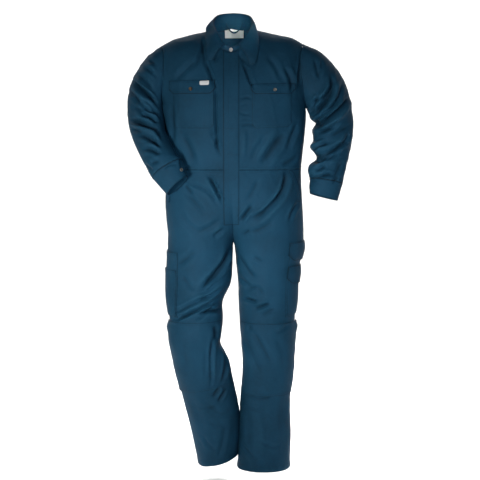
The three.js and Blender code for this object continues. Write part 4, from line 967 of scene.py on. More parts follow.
@dataclass(frozen=True)
class Edge:
    """How a panel's edge is finished.

    welt is the width of the raised seam allowance, press how far the edge is sewn down onto
    what it lies on, curl how far it stands off, reach over what width that happens, and dark
    how much shade and dust lie along it.
    """

    welt: float = 0.0
    press: float = 0.0
    curl: float = 0.0
    reach: float = 12.0
    dark: float = 1.0

    def height(self, distance: np.ndarray, uneven: np.ndarray, fine: np.ndarray) -> np.ndarray:
        """How far the outer face moves at a distance from the edge.

        Args:
            distance: from the edge, in millimetres.
            uneven: a slow wander along the edge.
            fine: a quick one, for the puckers beside a row of stitches.

        Returns:
            Distances outwards, in millimetres.
        """
        roll = 0.5 * (ease(distance / 2.2) - 1)
        raised = 0.0
        if self.welt:
            raised = 0.6 * ease(distance / 1.6) * (1 - ease((distance - self.welt) / 2.2))
        lift = (self.curl * (1 + 0.5 * uneven) - self.press) * (1 - ease(distance / self.reach))
        pucker = 0.35 * fine * ease(distance / 2.0) * np.exp(-distance / 9.0)
        return roll + raised + lift + pucker


SEAM = Edge(welt=9, dark=0.7)
PLAIN = Edge()
SEWN = Edge(press=0.65, reach=9)
BARE = (PLAIN, PLAIN)


@dataclass
class Panel:
    """A closed wall of cloth on a grid of points."""

    outer: np.ndarray
    inner: np.ndarray
    across: np.ndarray
    up: np.ndarray
    closed: bool
    outwards: bool
    wear: np.ndarray
    crest: np.ndarray
    seam: np.ndarray

    def beside(self, inset: float, last: bool, rows: bool) -> np.ndarray:
        """A line at a distance in from an end of the grid.

        Args:
            inset: the distance in millimetres.
            last: whether it is in from the last end and not the first.
            rows: whether the ends are rows and not columns.

        Returns:
            The line's points.
        """
        distances, places = self.across, self.outer
        if rows:
            distances, places = self.up.T, self.outer.transpose(1, 0, 2)
        line = []
        for distance, place in zip(distances, places):
            at = distance[-1] - inset if last else inset
            line.append([np.interp(at, distance, place[:, k]) for k in range(3)])
        if rows and self.closed:
            line.append(line[0])
        return np.array(line)


def grid_normals(points: np.ndarray, closed: bool) -> np.ndarray:
    """Directions across a grid of points."""
    if closed:
        along = np.roll(points, -1, axis=1) - np.roll(points, 1, axis=1)
    else:
        along = np.empty_like(points)
        along[:, 1:-1] = points[:, 2:] - points[:, :-2]
        along[:, 0], along[:, -1] = points[:, 1] - points[:, 0], points[:, -1] - points[:, -2]
    up = np.empty_like(points)
    up[1:-1] = points[2:] - points[:-2]
    up[0], up[-1] = points[1] - points[0], points[-1] - points[-2]
    return unit(np.cross(along, up))


def arc(points: np.ndarray, axis: int) -> np.ndarray:
    """Distances along a grid's rows or columns."""
    steps = np.linalg.norm(np.diff(points, axis=axis), axis=-1)
    zero = np.zeros_like(np.take(steps, [0], axis=axis))
    return np.concatenate([zero, np.cumsum(steps, axis=axis)], axis=axis)


def panel(
    points: np.ndarray,
    out_of: np.ndarray,
    regions: Iterable[Region] = (),
    thick: float = CLOTH,
    lift: np.ndarray | float = 0.0,
    columns: tuple[Edge, Edge] = (SEAM, SEAM),
    rows: tuple[Edge, Edge] = (SEAM, SEAM),
    closed: bool = False,
    calm: np.ndarray | float = 1.0,
) -> Panel:
    """Builds a wall of cloth.

    Args:
        points: the smooth form, rows by columns.
        out_of: a direction out of the suit at the grid's middle.
        regions: the folds that pass through it.
        thick: the wall's thickness.
        lift: how far the middle of the wall stands off the form.
        columns: finishes of the first and the last column's edge.
        rows: finishes of the first and the last row's edge.
        closed: whether the wall runs all the way round.
        calm: the share of the folds that is kept.

    Returns:
        The panel.
    """
    normals = grid_normals(points, closed)
    middle = (points.shape[0] // 2, points.shape[1] // 2)
    outwards = bool(np.dot(normals[middle], out_of) >= 0)
    if not outwards:
        normals = -normals
    across, up = arc(points, 1), arc(points, 0)
    uneven, fine = wander(points, 48, 11), wander(points, 17, 13)
    finish = np.zeros(points.shape[:2])
    wear, seam = np.zeros(points.shape[:2]), np.zeros(points.shape[:2])
    ends = [(rows[0], up), (rows[1], up[-1:] - up)]
    if not closed:
        ends += [(columns[0], across), (columns[1], across[:, -1:] - across)]
    for edge, distance in ends:
        finish = finish + edge.height(distance, uneven, fine)
        wear = np.maximum(wear, np.exp(-distance / (3.0 + edge.welt * 0.4)))
        # Painted shade, with some dust, beside each edge, as strong as the edge's dark
        seam = np.maximum(seam, edge.dark * np.exp(-((distance / 1.9) ** 2)))
    folds = relief(points, normals, regions) * calm if regions else np.zeros(points.shape[:2])
    placed = points + normals * (folds + lift)[..., None]
    facing = grid_normals(placed, closed) * (1 if outwards else -1)
    inner_finish = np.minimum(finish, 0.0) - thick / 2 + np.maximum(finish, 0) * 0.2
    return Panel(
        outer=placed + facing * (thick / 2 + finish)[..., None],
        inner=placed + facing * inner_finish[..., None],
        across=across,
        up=up,
        closed=closed,
        outwards=outwards,
        wear=wear,
        # The fold height, from which the material paints shade in troughs and highlights on crests
        crest=np.clip(folds / 8.0, -1, 1),
        seam=seam,
    )


def steps(
    start: float, end: float, size: float, extra: bool = True, length: float = GRID_MM
) -> np.ndarray:
    """Places from start to end, a grid square apart, closer near both ends.

    Args:
        start: first place.
        end: last place.
        size: how long the cloth is between them, in millimetres.
        extra: whether lines are added beside the ends, to shape their seams.
        length: the size of a grid square.

    Returns:
        The places.
    """
    count = max(2, round(size / length))
    share = np.linspace(0, 1, count + 1)
    if extra:
        near = np.array(SEAM_LINES) / size
        near = near[near < 0.25]
        clear = near[-1] * 1.2 if len(near) else 0.0
        inside = share[(share > clear) & (share < 1 - clear)]
        share = np.unique(np.concatenate([[0, 1], near, 1 - near, inside]))
    return start + (end - start) * share


# ---------------------------------------------------------------- materials


def colour(text: str) -> tuple[float, float, float, float]:
    """A linear colour from an sRGB one.

    Args:
        text: six hexadecimal digits.

    Returns:
        Red, green, blue and alpha.
    """
    values = [int(text[n : n + 2], 16) / 255 for n in (0, 2, 4)]
    linear = [v / 12.92 if v <= 0.04045 else ((v + 0.055) / 1.055) ** 2.4 for v in values]
    return (*linear, 1.0)


@dataclass(frozen=True)
class Twill:
    """A dyed twill cloth: its colours and the spacing of its weave; the worn colour also paints
    highlights on fold crests, deep is painted shade in troughs and, with some dust, along edges.
    """

    name: str
    body: str
    shade: str
    worn: str
    deep: str
    rib_mm: float = 0.9
    roughness: float = 0.7
    bump: float = 0.35


@dataclass(frozen=True)
class Metal:
    """A stamped and plated metal cap."""

    name: str
    body: str
    dark: str
    roughness: float


@dataclass(frozen=True)
class Plain:
    """A matt surface of one colour with a fine grain."""

    name: str
    body: str
    dark: str
    roughness: float
    grain_mm: float


# 65% polyester, 35% cotton workwear twill, dyed petrol blue
# The worn colour doubles as the painted highlight on fold crests; the deep colour is painted shade in
# creases and along edges
PETROL_TWILL = Twill("petrol_twill", "1a4661", "143a51", "2b5c78", "07141e")
# Core-spun polyester sewing thread, darker than the cloth
THREAD = Plain("polyester_thread", "0c2332", "091a26", 0.7, 0.4)
# Bleached cotton label tape
LABEL_TAPE = Plain("cotton_label_tape", "eceef0", "dde1e4", 0.85, 0.5)
# Nickel-plated brass snap caps
NICKEL = Metal("nickel_plate", "a9a7a2", "6f6d69", 0.34)
# The same, its plating dulled to bronze
BRONZE = Metal("dull_bronze_plate", "6d6358", "453d35", 0.42)
# Seamless studio floor of painted board
FLOOR = Plain("painted_studio_floor", "f3f3f2", "f0f0ee", 0.9, 400.0)


class Nodes:
    """A material's node tree, with short ways to add to it."""

    def __init__(self, name: str) -> None:
        self.material = bpy.data.materials.new(name)
        self.material.use_nodes = True
        self.tree = self.material.node_tree
        self.shader = self.tree.nodes["Principled BSDF"]

    def add(self, kind: str, **settings: object) -> bpy.types.Node:
        """Adds a node; settings are its properties or, by socket name, its input values."""
        node = self.tree.nodes.new(kind)
        for key, value in settings.items():
            if hasattr(node, key):
                setattr(node, key, value)
            else:
                node.inputs[key.replace("_", " ")].default_value = value
        return node

    def link(self, source: bpy.types.NodeSocket, target: bpy.types.NodeSocket) -> None:
        """Joins two sockets."""
        self.tree.links.new(source, target)

    def mixed(
        self,
        factor: bpy.types.NodeSocket,
        first: object,
        second: object,
        blend: str = "MIX",
    ) -> bpy.types.NodeSocket:
        """Mixes two colours, given as sockets or as values."""
        node = self.tree.nodes.new("ShaderNodeMix")
        node.data_type, node.blend_type = "RGBA", blend
        self.link(factor, node.inputs["Factor"])
        for name, value in (("A", first), ("B", second)):
            socket = next(s for s in node.inputs if s.name == name and s.type == "RGBA")
            if isinstance(value, bpy.types.NodeSocket):
                self.link(value, socket)
            else:
                socket.default_value = value
        return next(s for s in node.outputs if s.type == "RGBA")

    def ranged(
        self, source: bpy.types.NodeSocket, low: float, high: float, start: float, end: float
    ) -> bpy.types.NodeSocket:
        """Maps a value from one range to another."""
        node = self.tree.nodes.new("ShaderNodeMapRange")
        self.link(source, node.inputs["Value"])
        for name, value in zip(("From Min", "From Max", "To Min", "To Max"), (low, high, start, end)):
            node.inputs[name].default_value = value
        return node.outputs["Result"]

    def noise(
        self, place: bpy.types.NodeSocket, size_mm: float, detail: float
    ) -> bpy.types.NodeSocket:
        """A noise whose blotches are about size_mm wide."""
        node = self.add("ShaderNodeTexNoise", Scale=1 / (size_mm * MM), Detail=detail)
        self.link(place, node.inputs["Vector"])
        return node.outputs["Fac"]

    def place(self) -> bpy.types.NodeSocket:
        """Places in the object's own space."""
        return self.add("ShaderNodeTexCoord").outputs["Object"]

    def attribute(self, name: str) -> bpy.types.NodeSocket:
        """A value that the mesh's points carry."""
        return self.add("ShaderNodeAttribute", attribute_name=name).outputs["Fac"]

    def bump(
        self,
        height: bpy.types.NodeSocket,
        strength: float,
        depth_mm: float,
        under: bpy.types.NodeSocket | None = None,
    ) -> bpy.types.NodeSocket:
        """Raises the surface by a height, on top of the bump under it."""
        node = self.add("ShaderNodeBump", Strength=strength, Distance=depth_mm * MM)
        self.link(height, node.inputs["Height"])
        if under is not None:
            self.link(under, node.inputs["Normal"])
        return node.outputs["Normal"]

    def finish(
        self,
        base: bpy.types.NodeSocket,
        uneven: bpy.types.NodeSocket,
        roughness: tuple[float, float],
        normal: bpy.types.NodeSocket,
    ) -> bpy.types.Material:
        """Gives the shader its colour, uneven roughness and bumps."""
        inputs = self.shader.inputs
        self.link(base, inputs["Base Color"])
        self.link(self.ranged(uneven, 0.3, 0.7, *roughness), inputs["Roughness"])
        self.link(normal, inputs["Normal"])
        return self.material


def twill_material(cloth: Twill) -> bpy.types.Material:
    """Makes a twill cloth's material: ribs, mottle, rubbed edges, painted shade in creases and along
    edges, and painted highlights on fold crests.
    """
    nodes = Nodes(cloth.name)
    uv = nodes.add("ShaderNodeUVMap", uv_map="cloth").outputs["UV"]
    where = nodes.place()
    turned = nodes.add("ShaderNodeMapping", Rotation=(0, 0, math.radians(33)))
    nodes.link(uv, turned.inputs["Vector"])
    ribs = nodes.add(
        "ShaderNodeTexWave",
        wave_type="BANDS",
        bands_direction="X",
        Scale=2 * math.pi / (20 * cloth.rib_mm * MM),
        Distortion=0.6,
        Detail=1.0,
    )
    nodes.link(turned.outputs["Vector"], ribs.inputs["Vector"])
    threads = nodes.noise(uv, 1.6, 2.0)
    mottle = nodes.noise(where, 9.0, 4.0)
    washed = nodes.noise(where, 130.0, 3.0)
    crest = nodes.attribute("crest")

    base = nodes.mixed(
        nodes.ranged(washed, 0.3, 0.7, 0, 1), colour(cloth.shade), colour(cloth.body)
    )
    # Random mottle and slubs, then from the crest attribute a painted highlight on fold crests and
    # painted shade in the troughs
    layers = (
        (mottle, 0.35, 0.75, 0.12, cloth.worn),
        (threads, 0.3, 0.8, 0.28, cloth.shade),
        (crest, 0.1, 0.9, 0.3, cloth.worn),
        (crest, -0.25, -1.0, 0.5, cloth.deep),
    )
    for source, low, high, most, tint in layers:
        base = nodes.mixed(nodes.ranged(source, low, high, 0, most), base, colour(tint))
    rubbed = nodes.add("ShaderNodeMath", operation="MULTIPLY")
    nodes.link(nodes.ranged(nodes.attribute("wear"), 0.3, 1.0, 0, 0.3), rubbed.inputs[0])
    nodes.link(nodes.ranged(mottle, 0.4, 0.65, 0.2, 1), rubbed.inputs[1])
    base = nodes.mixed(rubbed.outputs[0], base, colour(cloth.worn))
    # Painted shade, with some dust, in a thin dark line along seams and edges
    seam_shade_and_dust = nodes.ranged(nodes.attribute("seam"), 0.1, 2.0, 0, 0.9)
    base = nodes.mixed(seam_shade_and_dust, base, colour(cloth.deep))

    nodes.shader.inputs["Specular IOR Level"].default_value = 0.1
    weave = nodes.bump(ribs.outputs["Fac"], cloth.bump, 0.12)
    slubs = nodes.bump(threads, 0.3, 0.3, weave)
    crumple = nodes.bump(nodes.noise(where, 34.0, 1.0), 0.7, 2.0, slubs)
    wrinkle = nodes.bump(nodes.noise(where, 13.0, 2.0), 0.6, 0.9, crumple)
    roughness = (cloth.roughness - 0.06, cloth.roughness + 0.06)
    return nodes.finish(base, mottle, roughness, wrinkle)


def plain_material(finish: Plain) -> bpy.types.Material:
    """Makes a matt material with a fine grain."""
    nodes = Nodes(finish.name)
    grain = nodes.noise(nodes.place(), finish.grain_mm, 2.0)
    blend = nodes.ranged(grain, 0.35, 0.65, 0, 1)
    base = nodes.mixed(blend, colour(finish.body), colour(finish.dark))
    nodes.shader.inputs["Specular IOR Level"].default_value = 0.15
    roughness = (finish.roughness - 0.05, finish.roughness + 0.05)
    return nodes.finish(base, grain, roughness, nodes.bump(grain, 0.2, 0.2))


def metal_material(finish: Metal) -> bpy.types.Material:
    """Makes a plated metal's material, brushed and a little tarnished."""
    nodes = Nodes(finish.name)
    where = nodes.place()
    tarnish = nodes.noise(where, 3.0, 4.0)
    blend = nodes.ranged(tarnish, 0.4, 0.7, 0, 0.8)
    base = nodes.mixed(blend, colour(finish.body), colour(finish.dark))
    nodes.shader.inputs["Metallic"].default_value = 1.0
    brushed = nodes.bump(nodes.noise(where, 0.35, 1.0), 0.15, 0.1)
    roughness = (finish.roughness - 0.08, finish.roughness + 0.14)
    return nodes.finish(base, tarnish, roughness, brushed)


def add_object(name: str, data: bpy.types.ID) -> bpy.types.Object:
    """Adds an object of that data to the scene."""
    made = bpy.data.objects.new(name, data)
    bpy.context.scene.collection.objects.link(made)
    return made


# ---------------------------------------------------------------- meshes from panels


def quads_of(shape: tuple[int, int], closed: bool) -> tuple[np.ndarray, np.ndarray]:
    """The faces of a closed wall on a grid, and whether each lies on the outer layer."""
    up, across = shape
    inner = up * across
    last = across if closed else across - 1
    j, i = np.meshgrid(np.arange(up - 1), np.arange(last), indexing="ij")
    a, b = (j * across + i).ravel(), (j * across + (i + 1) % across).ravel()
    outer_faces = np.stack([a, b, b + across, a + across], axis=1)
    inner_faces = np.stack([a, a + across, b + across, b], axis=1) + inner
    i = np.arange(last)
    following = (i + 1) % across
    top = (up - 1) * across
    rims = [
        np.stack([following, i, inner + i, inner + following], axis=1),
        np.stack([top + i, top + following, inner + top + following, inner + top + i], axis=1),
    ]
    if not closed:
        j = np.arange(up - 1)
        a, b = j * across, (j + 1) * across - 1
        rims.append(np.stack([a, a + across, inner + a + across, inner + a], axis=1))
        rims.append(np.stack([b + across, b, inner + b, inner + b + across], axis=1))
    return np.concatenate([outer_faces, inner_faces, *rims]), np.arange(len(outer_faces))


def panel_object(name: str, made: Panel, material: bpy.types.Material) -> bpy.types.Object:
    """Makes a Blender object of a panel, in metres at the origin."""
    vertices = np.concatenate([made.outer.reshape(-1, 3), made.inner.reshape(-1, 3)]) * MM
    faces, _ = quads_of(made.outer.shape[:2], made.closed)
    if not made.outwards:
        faces = faces[:, ::-1]
    mesh = bpy.data.meshes.new(name)
    mesh.from_pydata(vertices.tolist(), [], faces.tolist())
    uv = np.stack([made.across, made.up], axis=-1).reshape(-1, 2) * MM
    uv = np.concatenate([uv, uv])
    corners = uv[faces]
    if made.closed:
        width = made.across[:, -1].max() * MM
        wraps = corners[..., 0].max(axis=1) - corners[..., 0].min(axis=1) > width / 2
        low = corners[..., 0] < width / 2
        onward = corners[..., 0] + width + GRID_MM * MM
        corners[..., 0] = np.where(wraps[:, None] & low, onward, corners[..., 0])
    layer = mesh.uv_layers.new(name="cloth")
    layer.data.foreach_set("uv", corners.reshape(-1).astype(np.float32))
    for title, values in (("wear", made.wear), ("crest", made.crest), ("seam", made.seam)):
        attribute = mesh.attributes.new(title, "FLOAT", "POINT")
        both = np.concatenate([values.ravel(), values.ravel()])
        attribute.data.foreach_set("value", both.astype(np.float32))
    mesh.materials.append(material)
    mesh.polygons.foreach_set("use_smooth", np.ones(len(faces), bool))
    mesh.set_sharp_from_angle(angle=math.radians(48))
    mesh.validate()
    mesh.update()
    return add_object(name, mesh)


# ---------------------------------------------------------------- stitches


def stitch_group() -> bpy.types.NodeTree:
    """A node group that sews a row of stitches along each edge path of a mesh."""
    group = bpy.data.node_groups.new("stitches", "GeometryNodeTree")
    add = group.interface.new_socket
    add("Geometry", in_out="INPUT", socket_type="NodeSocketGeometry")
    sizes = (("Spacing", 3.4 * MM), ("Stitch length", 2.7 * MM), ("Thickness", 0.75 * MM))
    for title, value in sizes:
        add(title, in_out="INPUT", socket_type="NodeSocketFloat").default_value = value
    add("Seed", in_out="INPUT", socket_type="NodeSocketInt").default_value = 4
    add("Thread", in_out="INPUT", socket_type="NodeSocketMaterial")
    add("Geometry", in_out="OUTPUT", socket_type="NodeSocketGeometry")
    new = group.nodes.new
    given = new("NodeGroupInput")
    curve = new("GeometryNodeMeshToCurve")
    resample = new("GeometryNodeResampleCurve")
    resample.mode = "LENGTH"
    place = new("GeometryNodeInstanceOnPoints")
    bead = new("GeometryNodeMeshUVSphere")
    bead.inputs["Radius"].default_value = 0.5
    bead.inputs["Segments"].default_value, bead.inputs["Rings"].default_value = 5, 2
    tangent = new("GeometryNodeInputTangent")
    align = new("FunctionNodeAlignRotationToVector")
    align.axis = "X"
    jitter = new("FunctionNodeRandomValue")
    jitter.data_type = "FLOAT"
    jitter.inputs["Min"].default_value, jitter.inputs["Max"].default_value = 0.85, 1.1
    uneven = new("ShaderNodeMath")
    uneven.operation = "MULTIPLY"
    scale = new("ShaderNodeCombineXYZ")
    realize = new("GeometryNodeRealizeInstances")
    thread = new("GeometryNodeSetMaterial")
    result = new("NodeGroupOutput")
    for source, output, target, socket in (
        (given, "Geometry", curve, "Mesh"),
        (curve, "Curve", resample, "Curve"),
        (given, "Spacing", resample, "Length"),
        (resample, "Curve", place, "Points"),
        (bead, "Mesh", place, "Instance"),
        (tangent, "Tangent", align, "Vector"),
        (align, "Rotation", place, "Rotation"),
        (given, "Seed", jitter, "Seed"),
        (given, "Stitch length", uneven, 0),
        (jitter, "Value", uneven, 1),
        (uneven, "Value", scale, "X"),
        (given, "Thickness", scale, "Y"),
        (given, "Thickness", scale, "Z"),
        (scale, "Vector", place, "Scale"),
        (place, "Instances", realize, "Geometry"),
        (realize, "Geometry", thread, "Geometry"),
        (given, "Thread", thread, "Material"),
        (thread, "Geometry", result, "Geometry"),
    ):
        group.links.new(source.outputs[output], target.inputs[socket])
    return group


def sew(
    name: str,
    lines: Sequence[np.ndarray],
    group: bpy.types.NodeTree,
    thread: bpy.types.Material,
) -> bpy.types.Object:
    """Makes one object of all the stitches along some lines.

    Args:
        name: the object's name.
        lines: paths in millimetres.
        group: the stitches' node group.
        thread: the thread's material.

    Returns:
        The stitches as a plain mesh object.
    """
    vertices: list[list[float]] = []
    edges: list[tuple[int, int]] = []
    for line in lines:
        first = len(vertices)
        vertices += (np.asarray(line) * MM).tolist()
        edges += [(first + n, first + n + 1) for n in range(len(line) - 1)]
    mesh = bpy.data.meshes.new(name + "_paths")
    mesh.from_pydata(vertices, edges, [])
    paths = add_object(name + "_paths", mesh)
    modifier = paths.modifiers.new("stitches", "NODES")
    modifier.node_group = group
    sockets = group.interface.items_tree
    wanted = next(item for item in sockets if item.name == "Thread" and item.in_out == "INPUT")
    modifier[wanted.identifier] = thread
    bpy.context.view_layer.update()
    ready = paths.evaluated_get(bpy.context.evaluated_depsgraph_get())
    sewn = bpy.data.meshes.new_from_object(ready)
    sewn.polygons.foreach_set("use_smooth", np.ones(len(sewn.polygons), bool))
    if not sewn.materials:
        sewn.materials.append(thread)
    bpy.data.objects.remove(paths)
    return add_object(name, sewn)


# ---------------------------------------------------------------- the suit


@dataclass(frozen=True)
class Cut:
    """A piece's flat cut: the rectangle that it is cut from and its own area, in metres."""

    width: float
    length: float
    area: float


@dataclass
class Suit:
    """The suit's panels and the lines that are sewn on them."""

    panels: dict[str, Panel] = field(default_factory=dict)
    stitches: dict[str, list[np.ndarray]] = field(default_factory=dict)

    def sew_line(self, name: str, line: np.ndarray) -> None:
        """Adds a sewn line to a piece."""
        self.stitches.setdefault(name, []).append(line)

    def sew_beside(
        self, name: str, insets: Sequence[float], rows: bool, first: bool, last: bool
    ) -> None:
        """Sews lines beside a panel's first and last rows or columns, or one of them."""
        for inset in insets:
            for at_last, wanted in ((False, first), (True, last)):
                if wanted:
                    self.sew_line(name, self.panels[name].beside(inset, at_last, rows))

    def sew_columns(
        self, name: str, insets: Sequence[float], first: bool = True, last: bool = True
    ) -> None:
        """Sews lines beside a panel's first and last columns."""
        self.sew_beside(name, insets, False, first, last)

    def sew_rows(
        self, name: str, insets: Sequence[float], first: bool = True, last: bool = True
    ) -> None:
        """Sews lines beside a panel's first and last rows."""
        self.sew_beside(name, insets, True, first, last)


FORWARDS, BACKWARDS = np.array([0, -1.0, 0]), np.array([0, 1.0, 0])


def leg_regions(side: Side) -> tuple[Region, Region]:
    """The folds that pass through one leg."""
    return Region.BODY, Region.LEG_RIGHT if side is Side.RIGHT else Region.LEG_LEFT


def beside_seams(points: np.ndarray, share: np.ndarray, level: np.ndarray) -> np.ndarray:
    """The share of its folds that the upper body keeps beside an armhole, neck or sleeve.

    Args:
        points: places on the upper body.
        share: their share of the panel's width.
        level: their level.

    Returns:
        0 at the armhole's seam and the neckline, little under the right arm, else 1.
    """
    armhole = ease((level - 0.9) / 0.1) * ease((share - 0.88) / 0.12)
    from_neck = np.hypot(points[..., 0] / NECK_HALF, points[..., 1] / NECK_FRONT) - 1
    neck = ease((level - 1.5) / 0.2) * (1 - ease(from_neck / 0.35))
    return (1 - armhole) * (1 - neck) * (1 - 0.9 * under_arm(points))


def under_arm(points: np.ndarray) -> np.ndarray:
    """How much of the body's side lies close beside the right sleeve, from 0 to 1."""
    side = ease((-points[..., 0] - 190) / 30)
    return side * ease((points[..., 2] + 425) / 50) * ease((-250 - points[..., 2]) / 20)


def beside_centre_seam(points: np.ndarray) -> np.ndarray:
    """How near the trousers' cloth lies to the seam between the legs, from 0 to 1."""
    x, z = points[..., 0], points[..., 2]
    return ease((z - CROTCH_Z + 22) / 22) * (1 - ease((np.abs(x - centre_x(z)) - 3) / 24))


def body_levels(size: float) -> np.ndarray:
    """The upper body's rows: 0 is the waist, 1 the underarm and 2 the shoulder seam."""
    low, high = steps(0.0004, 1, 216, length=size), steps(1, 1.9998, 300, length=size)
    return np.unique(np.round(np.concatenate([low, high]), 6))


def build_upper_body(suit: Suit) -> None:
    """Builds the fronts and the back of the upper body."""
    levels = body_levels(FINE_MM)
    for side in Side:
        shares = steps(0.0006, 0.9999, 300, length=FINE_MM)
        points = torso_point(side, Face.FRONT, shares[None, :], levels[:, None])
        suit.panels[f"front_{side.title}"] = panel(
            points,
            FORWARDS,
            [Region.BODY],
            columns=(PLAIN, SEAM),
            lift=UNDERARM_LIFT * under_arm(points),
            calm=beside_seams(points, shares[None, :], levels[:, None]),
        )
        suit.sew_columns(f"front_{side.title}", DOUBLE, first=False)
        suit.sew_rows(f"front_{side.title}", DOUBLE)
    levels = body_levels(GRID_MM)
    edge = steps(0.0, 0.9999, 300)
    half = edge[edge > 0.05]
    half = np.concatenate([np.linspace(0.012, 0.048, 4), half])
    points = np.concatenate(
        [
            torso_point(Side.RIGHT, Face.BACK, half[None, ::-1], levels[:, None]),
            torso_point(Side.RIGHT, Face.BACK, 0.0, levels[:, None]),
            torso_point(Side.LEFT, Face.BACK, half[None, :], levels[:, None]),
        ],
        axis=1,
    )
    across = np.concatenate([half[::-1], [0.0], half])
    calm = beside_seams(points, across[None, :], levels[:, None])
    lift = UNDERARM_LIFT * under_arm(points)
    suit.panels["back"] = panel(points, BACKWARDS, [Region.BODY], lift=lift, calm=calm)
    suit.sew_rows("back", DOUBLE)


def build_legs(suit: Suit) -> None:
    """Builds the trouser fronts and backs."""
    for side in Side:
        bottom = float(LEGS[side].rows[0, 0])
        for face in (Face.FRONT, Face.BACK):
            size = LEG_FRONT_MM if face is Face.FRONT else COARSE_MM
            high = steps(WAIST_Z - SEAM_GAP, CROTCH_Z, 250, length=size)
            low = steps(CROTCH_Z, bottom, CROTCH_Z - bottom, length=size)
            heights = np.unique(np.round(np.concatenate([high, low]), 4))[::-1]
            start = 0.0 if face is Face.FRONT else 0.5
            around = steps(start + 0.0001, start + 0.4999, 330, length=size)
            points = leg_point(side, around[None, :], heights[:, None])
            name = f"leg_{face.value}_{side.title}"
            hint = FORWARDS if face is Face.FRONT else BACKWARDS
            hem = Edge(welt=20, curl=0.8, reach=26)
            beside = beside_centre_seam(points)
            lift = CENTRE_LIFT * beside * ease((-640 - points[..., 2]) / 50)
            suit.panels[name] = panel(
                points, hint, leg_regions(side), lift=lift, rows=(SEAM, hem), calm=1 - beside
            )
            if face is Face.FRONT:
                suit.sew_columns(name, DOUBLE)
            suit.sew_rows(name, DOUBLE, last=False)
            suit.sew_rows(name, (20.0,), first=False)


def out_of_tube(points: np.ndarray) -> np.ndarray:
    """A direction out of a tube at the middle of its grid."""
    ring = points[len(points) // 2]
    return ring[SLEEVE_ROUND // 2] - ring.mean(axis=0)


def build_sleeves(suit: Suit) -> None:
    """Builds the sleeves and their cuffs."""
    for side in Side:
        region = Region.ARM_RIGHT if side is Side.RIGHT else Region.ARM_LEFT
        around = np.linspace(0, 1, SLEEVE_ROUND + 1)[:-1]
        long = steps(0.002, CUFF_START - 0.0005, 540, length=SLEEVE_MM)
        points = sleeve_point(side, around[None, :], long[:, None])
        beside = np.abs(points[..., 0]) - TORSO.read(side.title, points[..., 2])
        calm = mix(0.05, 1.0, ease((beside - 4) / 30))
        calm = calm * ease(long / 0.05)[:, None]
        suit.panels[f"sleeve_{side.title}"] = panel(
            points, out_of_tube(points), [region], closed=True, calm=calm
        )
        suit.sew_rows(f"sleeve_{side.title}", DOUBLE, last=False)
        cuff_long = steps(CUFF_START + 0.0005, 1.0, 62)
        cuff = sleeve_point(side, around[None, :], cuff_long[:, None])
        suit.panels[f"cuff_{side.title}"] = panel(
            cuff,
            out_of_tube(cuff),
            [region],
            thick=2.4,
            lift=0.4,
            rows=(Edge(curl=0.5, dark=2.0), PLAIN),
            closed=True,
            calm=0.5,
        )
        suit.sew_rows(f"cuff_{side.title}", (2.5,))


def build_placket(suit: Suit) -> None:
    """Builds the placket over the front opening."""
    across = steps(PLACKET_RIGHT, PLACKET_LEFT, 53)
    angle = np.degrees(np.arcsin(np.abs(across) / NECK_HALF))
    tops = [neck_point(side, angle)[..., 2] for side in Side]
    top = np.where(across < 0, *tops)
    down = steps(0, 1, 600)
    points = body_point(Face.FRONT, across[None, :], mix(top - 3, PLACKET_BOTTOM, down[:, None]))
    suit.panels["placket"] = panel(
        points,
        FORWARDS,
        [Region.BODY],
        lift=LAYER + 0.3,
        columns=(Edge(curl=0.8, dark=2.0), Edge(press=0.4, dark=1.5)),
        rows=(SEWN, Edge(press=0.4, dark=2.0)),
    )
    suit.sew_columns("placket", (2.5,))
    suit.sew_columns("placket", (36.0,), first=False)
    suit.sew_rows("placket", (3.0,), first=False)


def patch_named(name: str) -> FrontPatch | LegPatch:
    """The patch with that name."""
    return next(patch for patch in (*FRONT_PATCHES, *LEG_PATCHES) if patch.name == name)


def patch_lift(patch: FrontPatch | LegPatch, u: np.ndarray, v: np.ndarray) -> np.ndarray:
    """How far a sewn-on piece's middle stands off the panel, u across and v down."""
    swell = np.sin(np.pi * np.clip(u, 0, 1)) * np.sin(np.pi * np.clip(v, 0, 1))
    own = LAYER + patch.clear + patch.belly * swell
    if not patch.on:
        return own
    under = patch_named(patch.on)
    if isinstance(patch, FrontPatch):
        across, down = (patch.middle[0], patch.side[0]), patch.middle[1:]
        under_across, under_down = (under.middle[0], under.side[0]), under.middle[1:]
    else:
        across, down = patch.around, patch.heights
        under_across, under_down = under.around, under.heights
    u_under = (mix(*across, u) - under_across[0]) / (under_across[1] - under_across[0])
    v_under = (mix(*down, v) - under_down[0]) / (under_down[1] - under_down[0])
    return own + patch_lift(under, u_under, v_under)


def patch_edges(name: str) -> tuple[tuple[Edge, Edge], tuple[Edge, Edge]]:
    """The finishes of a sewn-on piece's sides, and of its top and bottom."""
    if "flap" in name and "tag" not in name:
        free, side = Edge(curl=2.4, reach=20, dark=2.0), Edge(curl=1.0, reach=10, dark=1.5)
        return (side, side), (SEWN, free)
    if "knee" in name:
        return (PLAIN, Edge(curl=2.4, reach=30)), (Edge(curl=0.8), Edge(curl=1.0, reach=20))
    if "pocket" in name:
        return (SEWN, SEWN), (Edge(curl=1.5, reach=26), SEWN)
    return (SEWN, SEWN), (SEWN, SEWN)


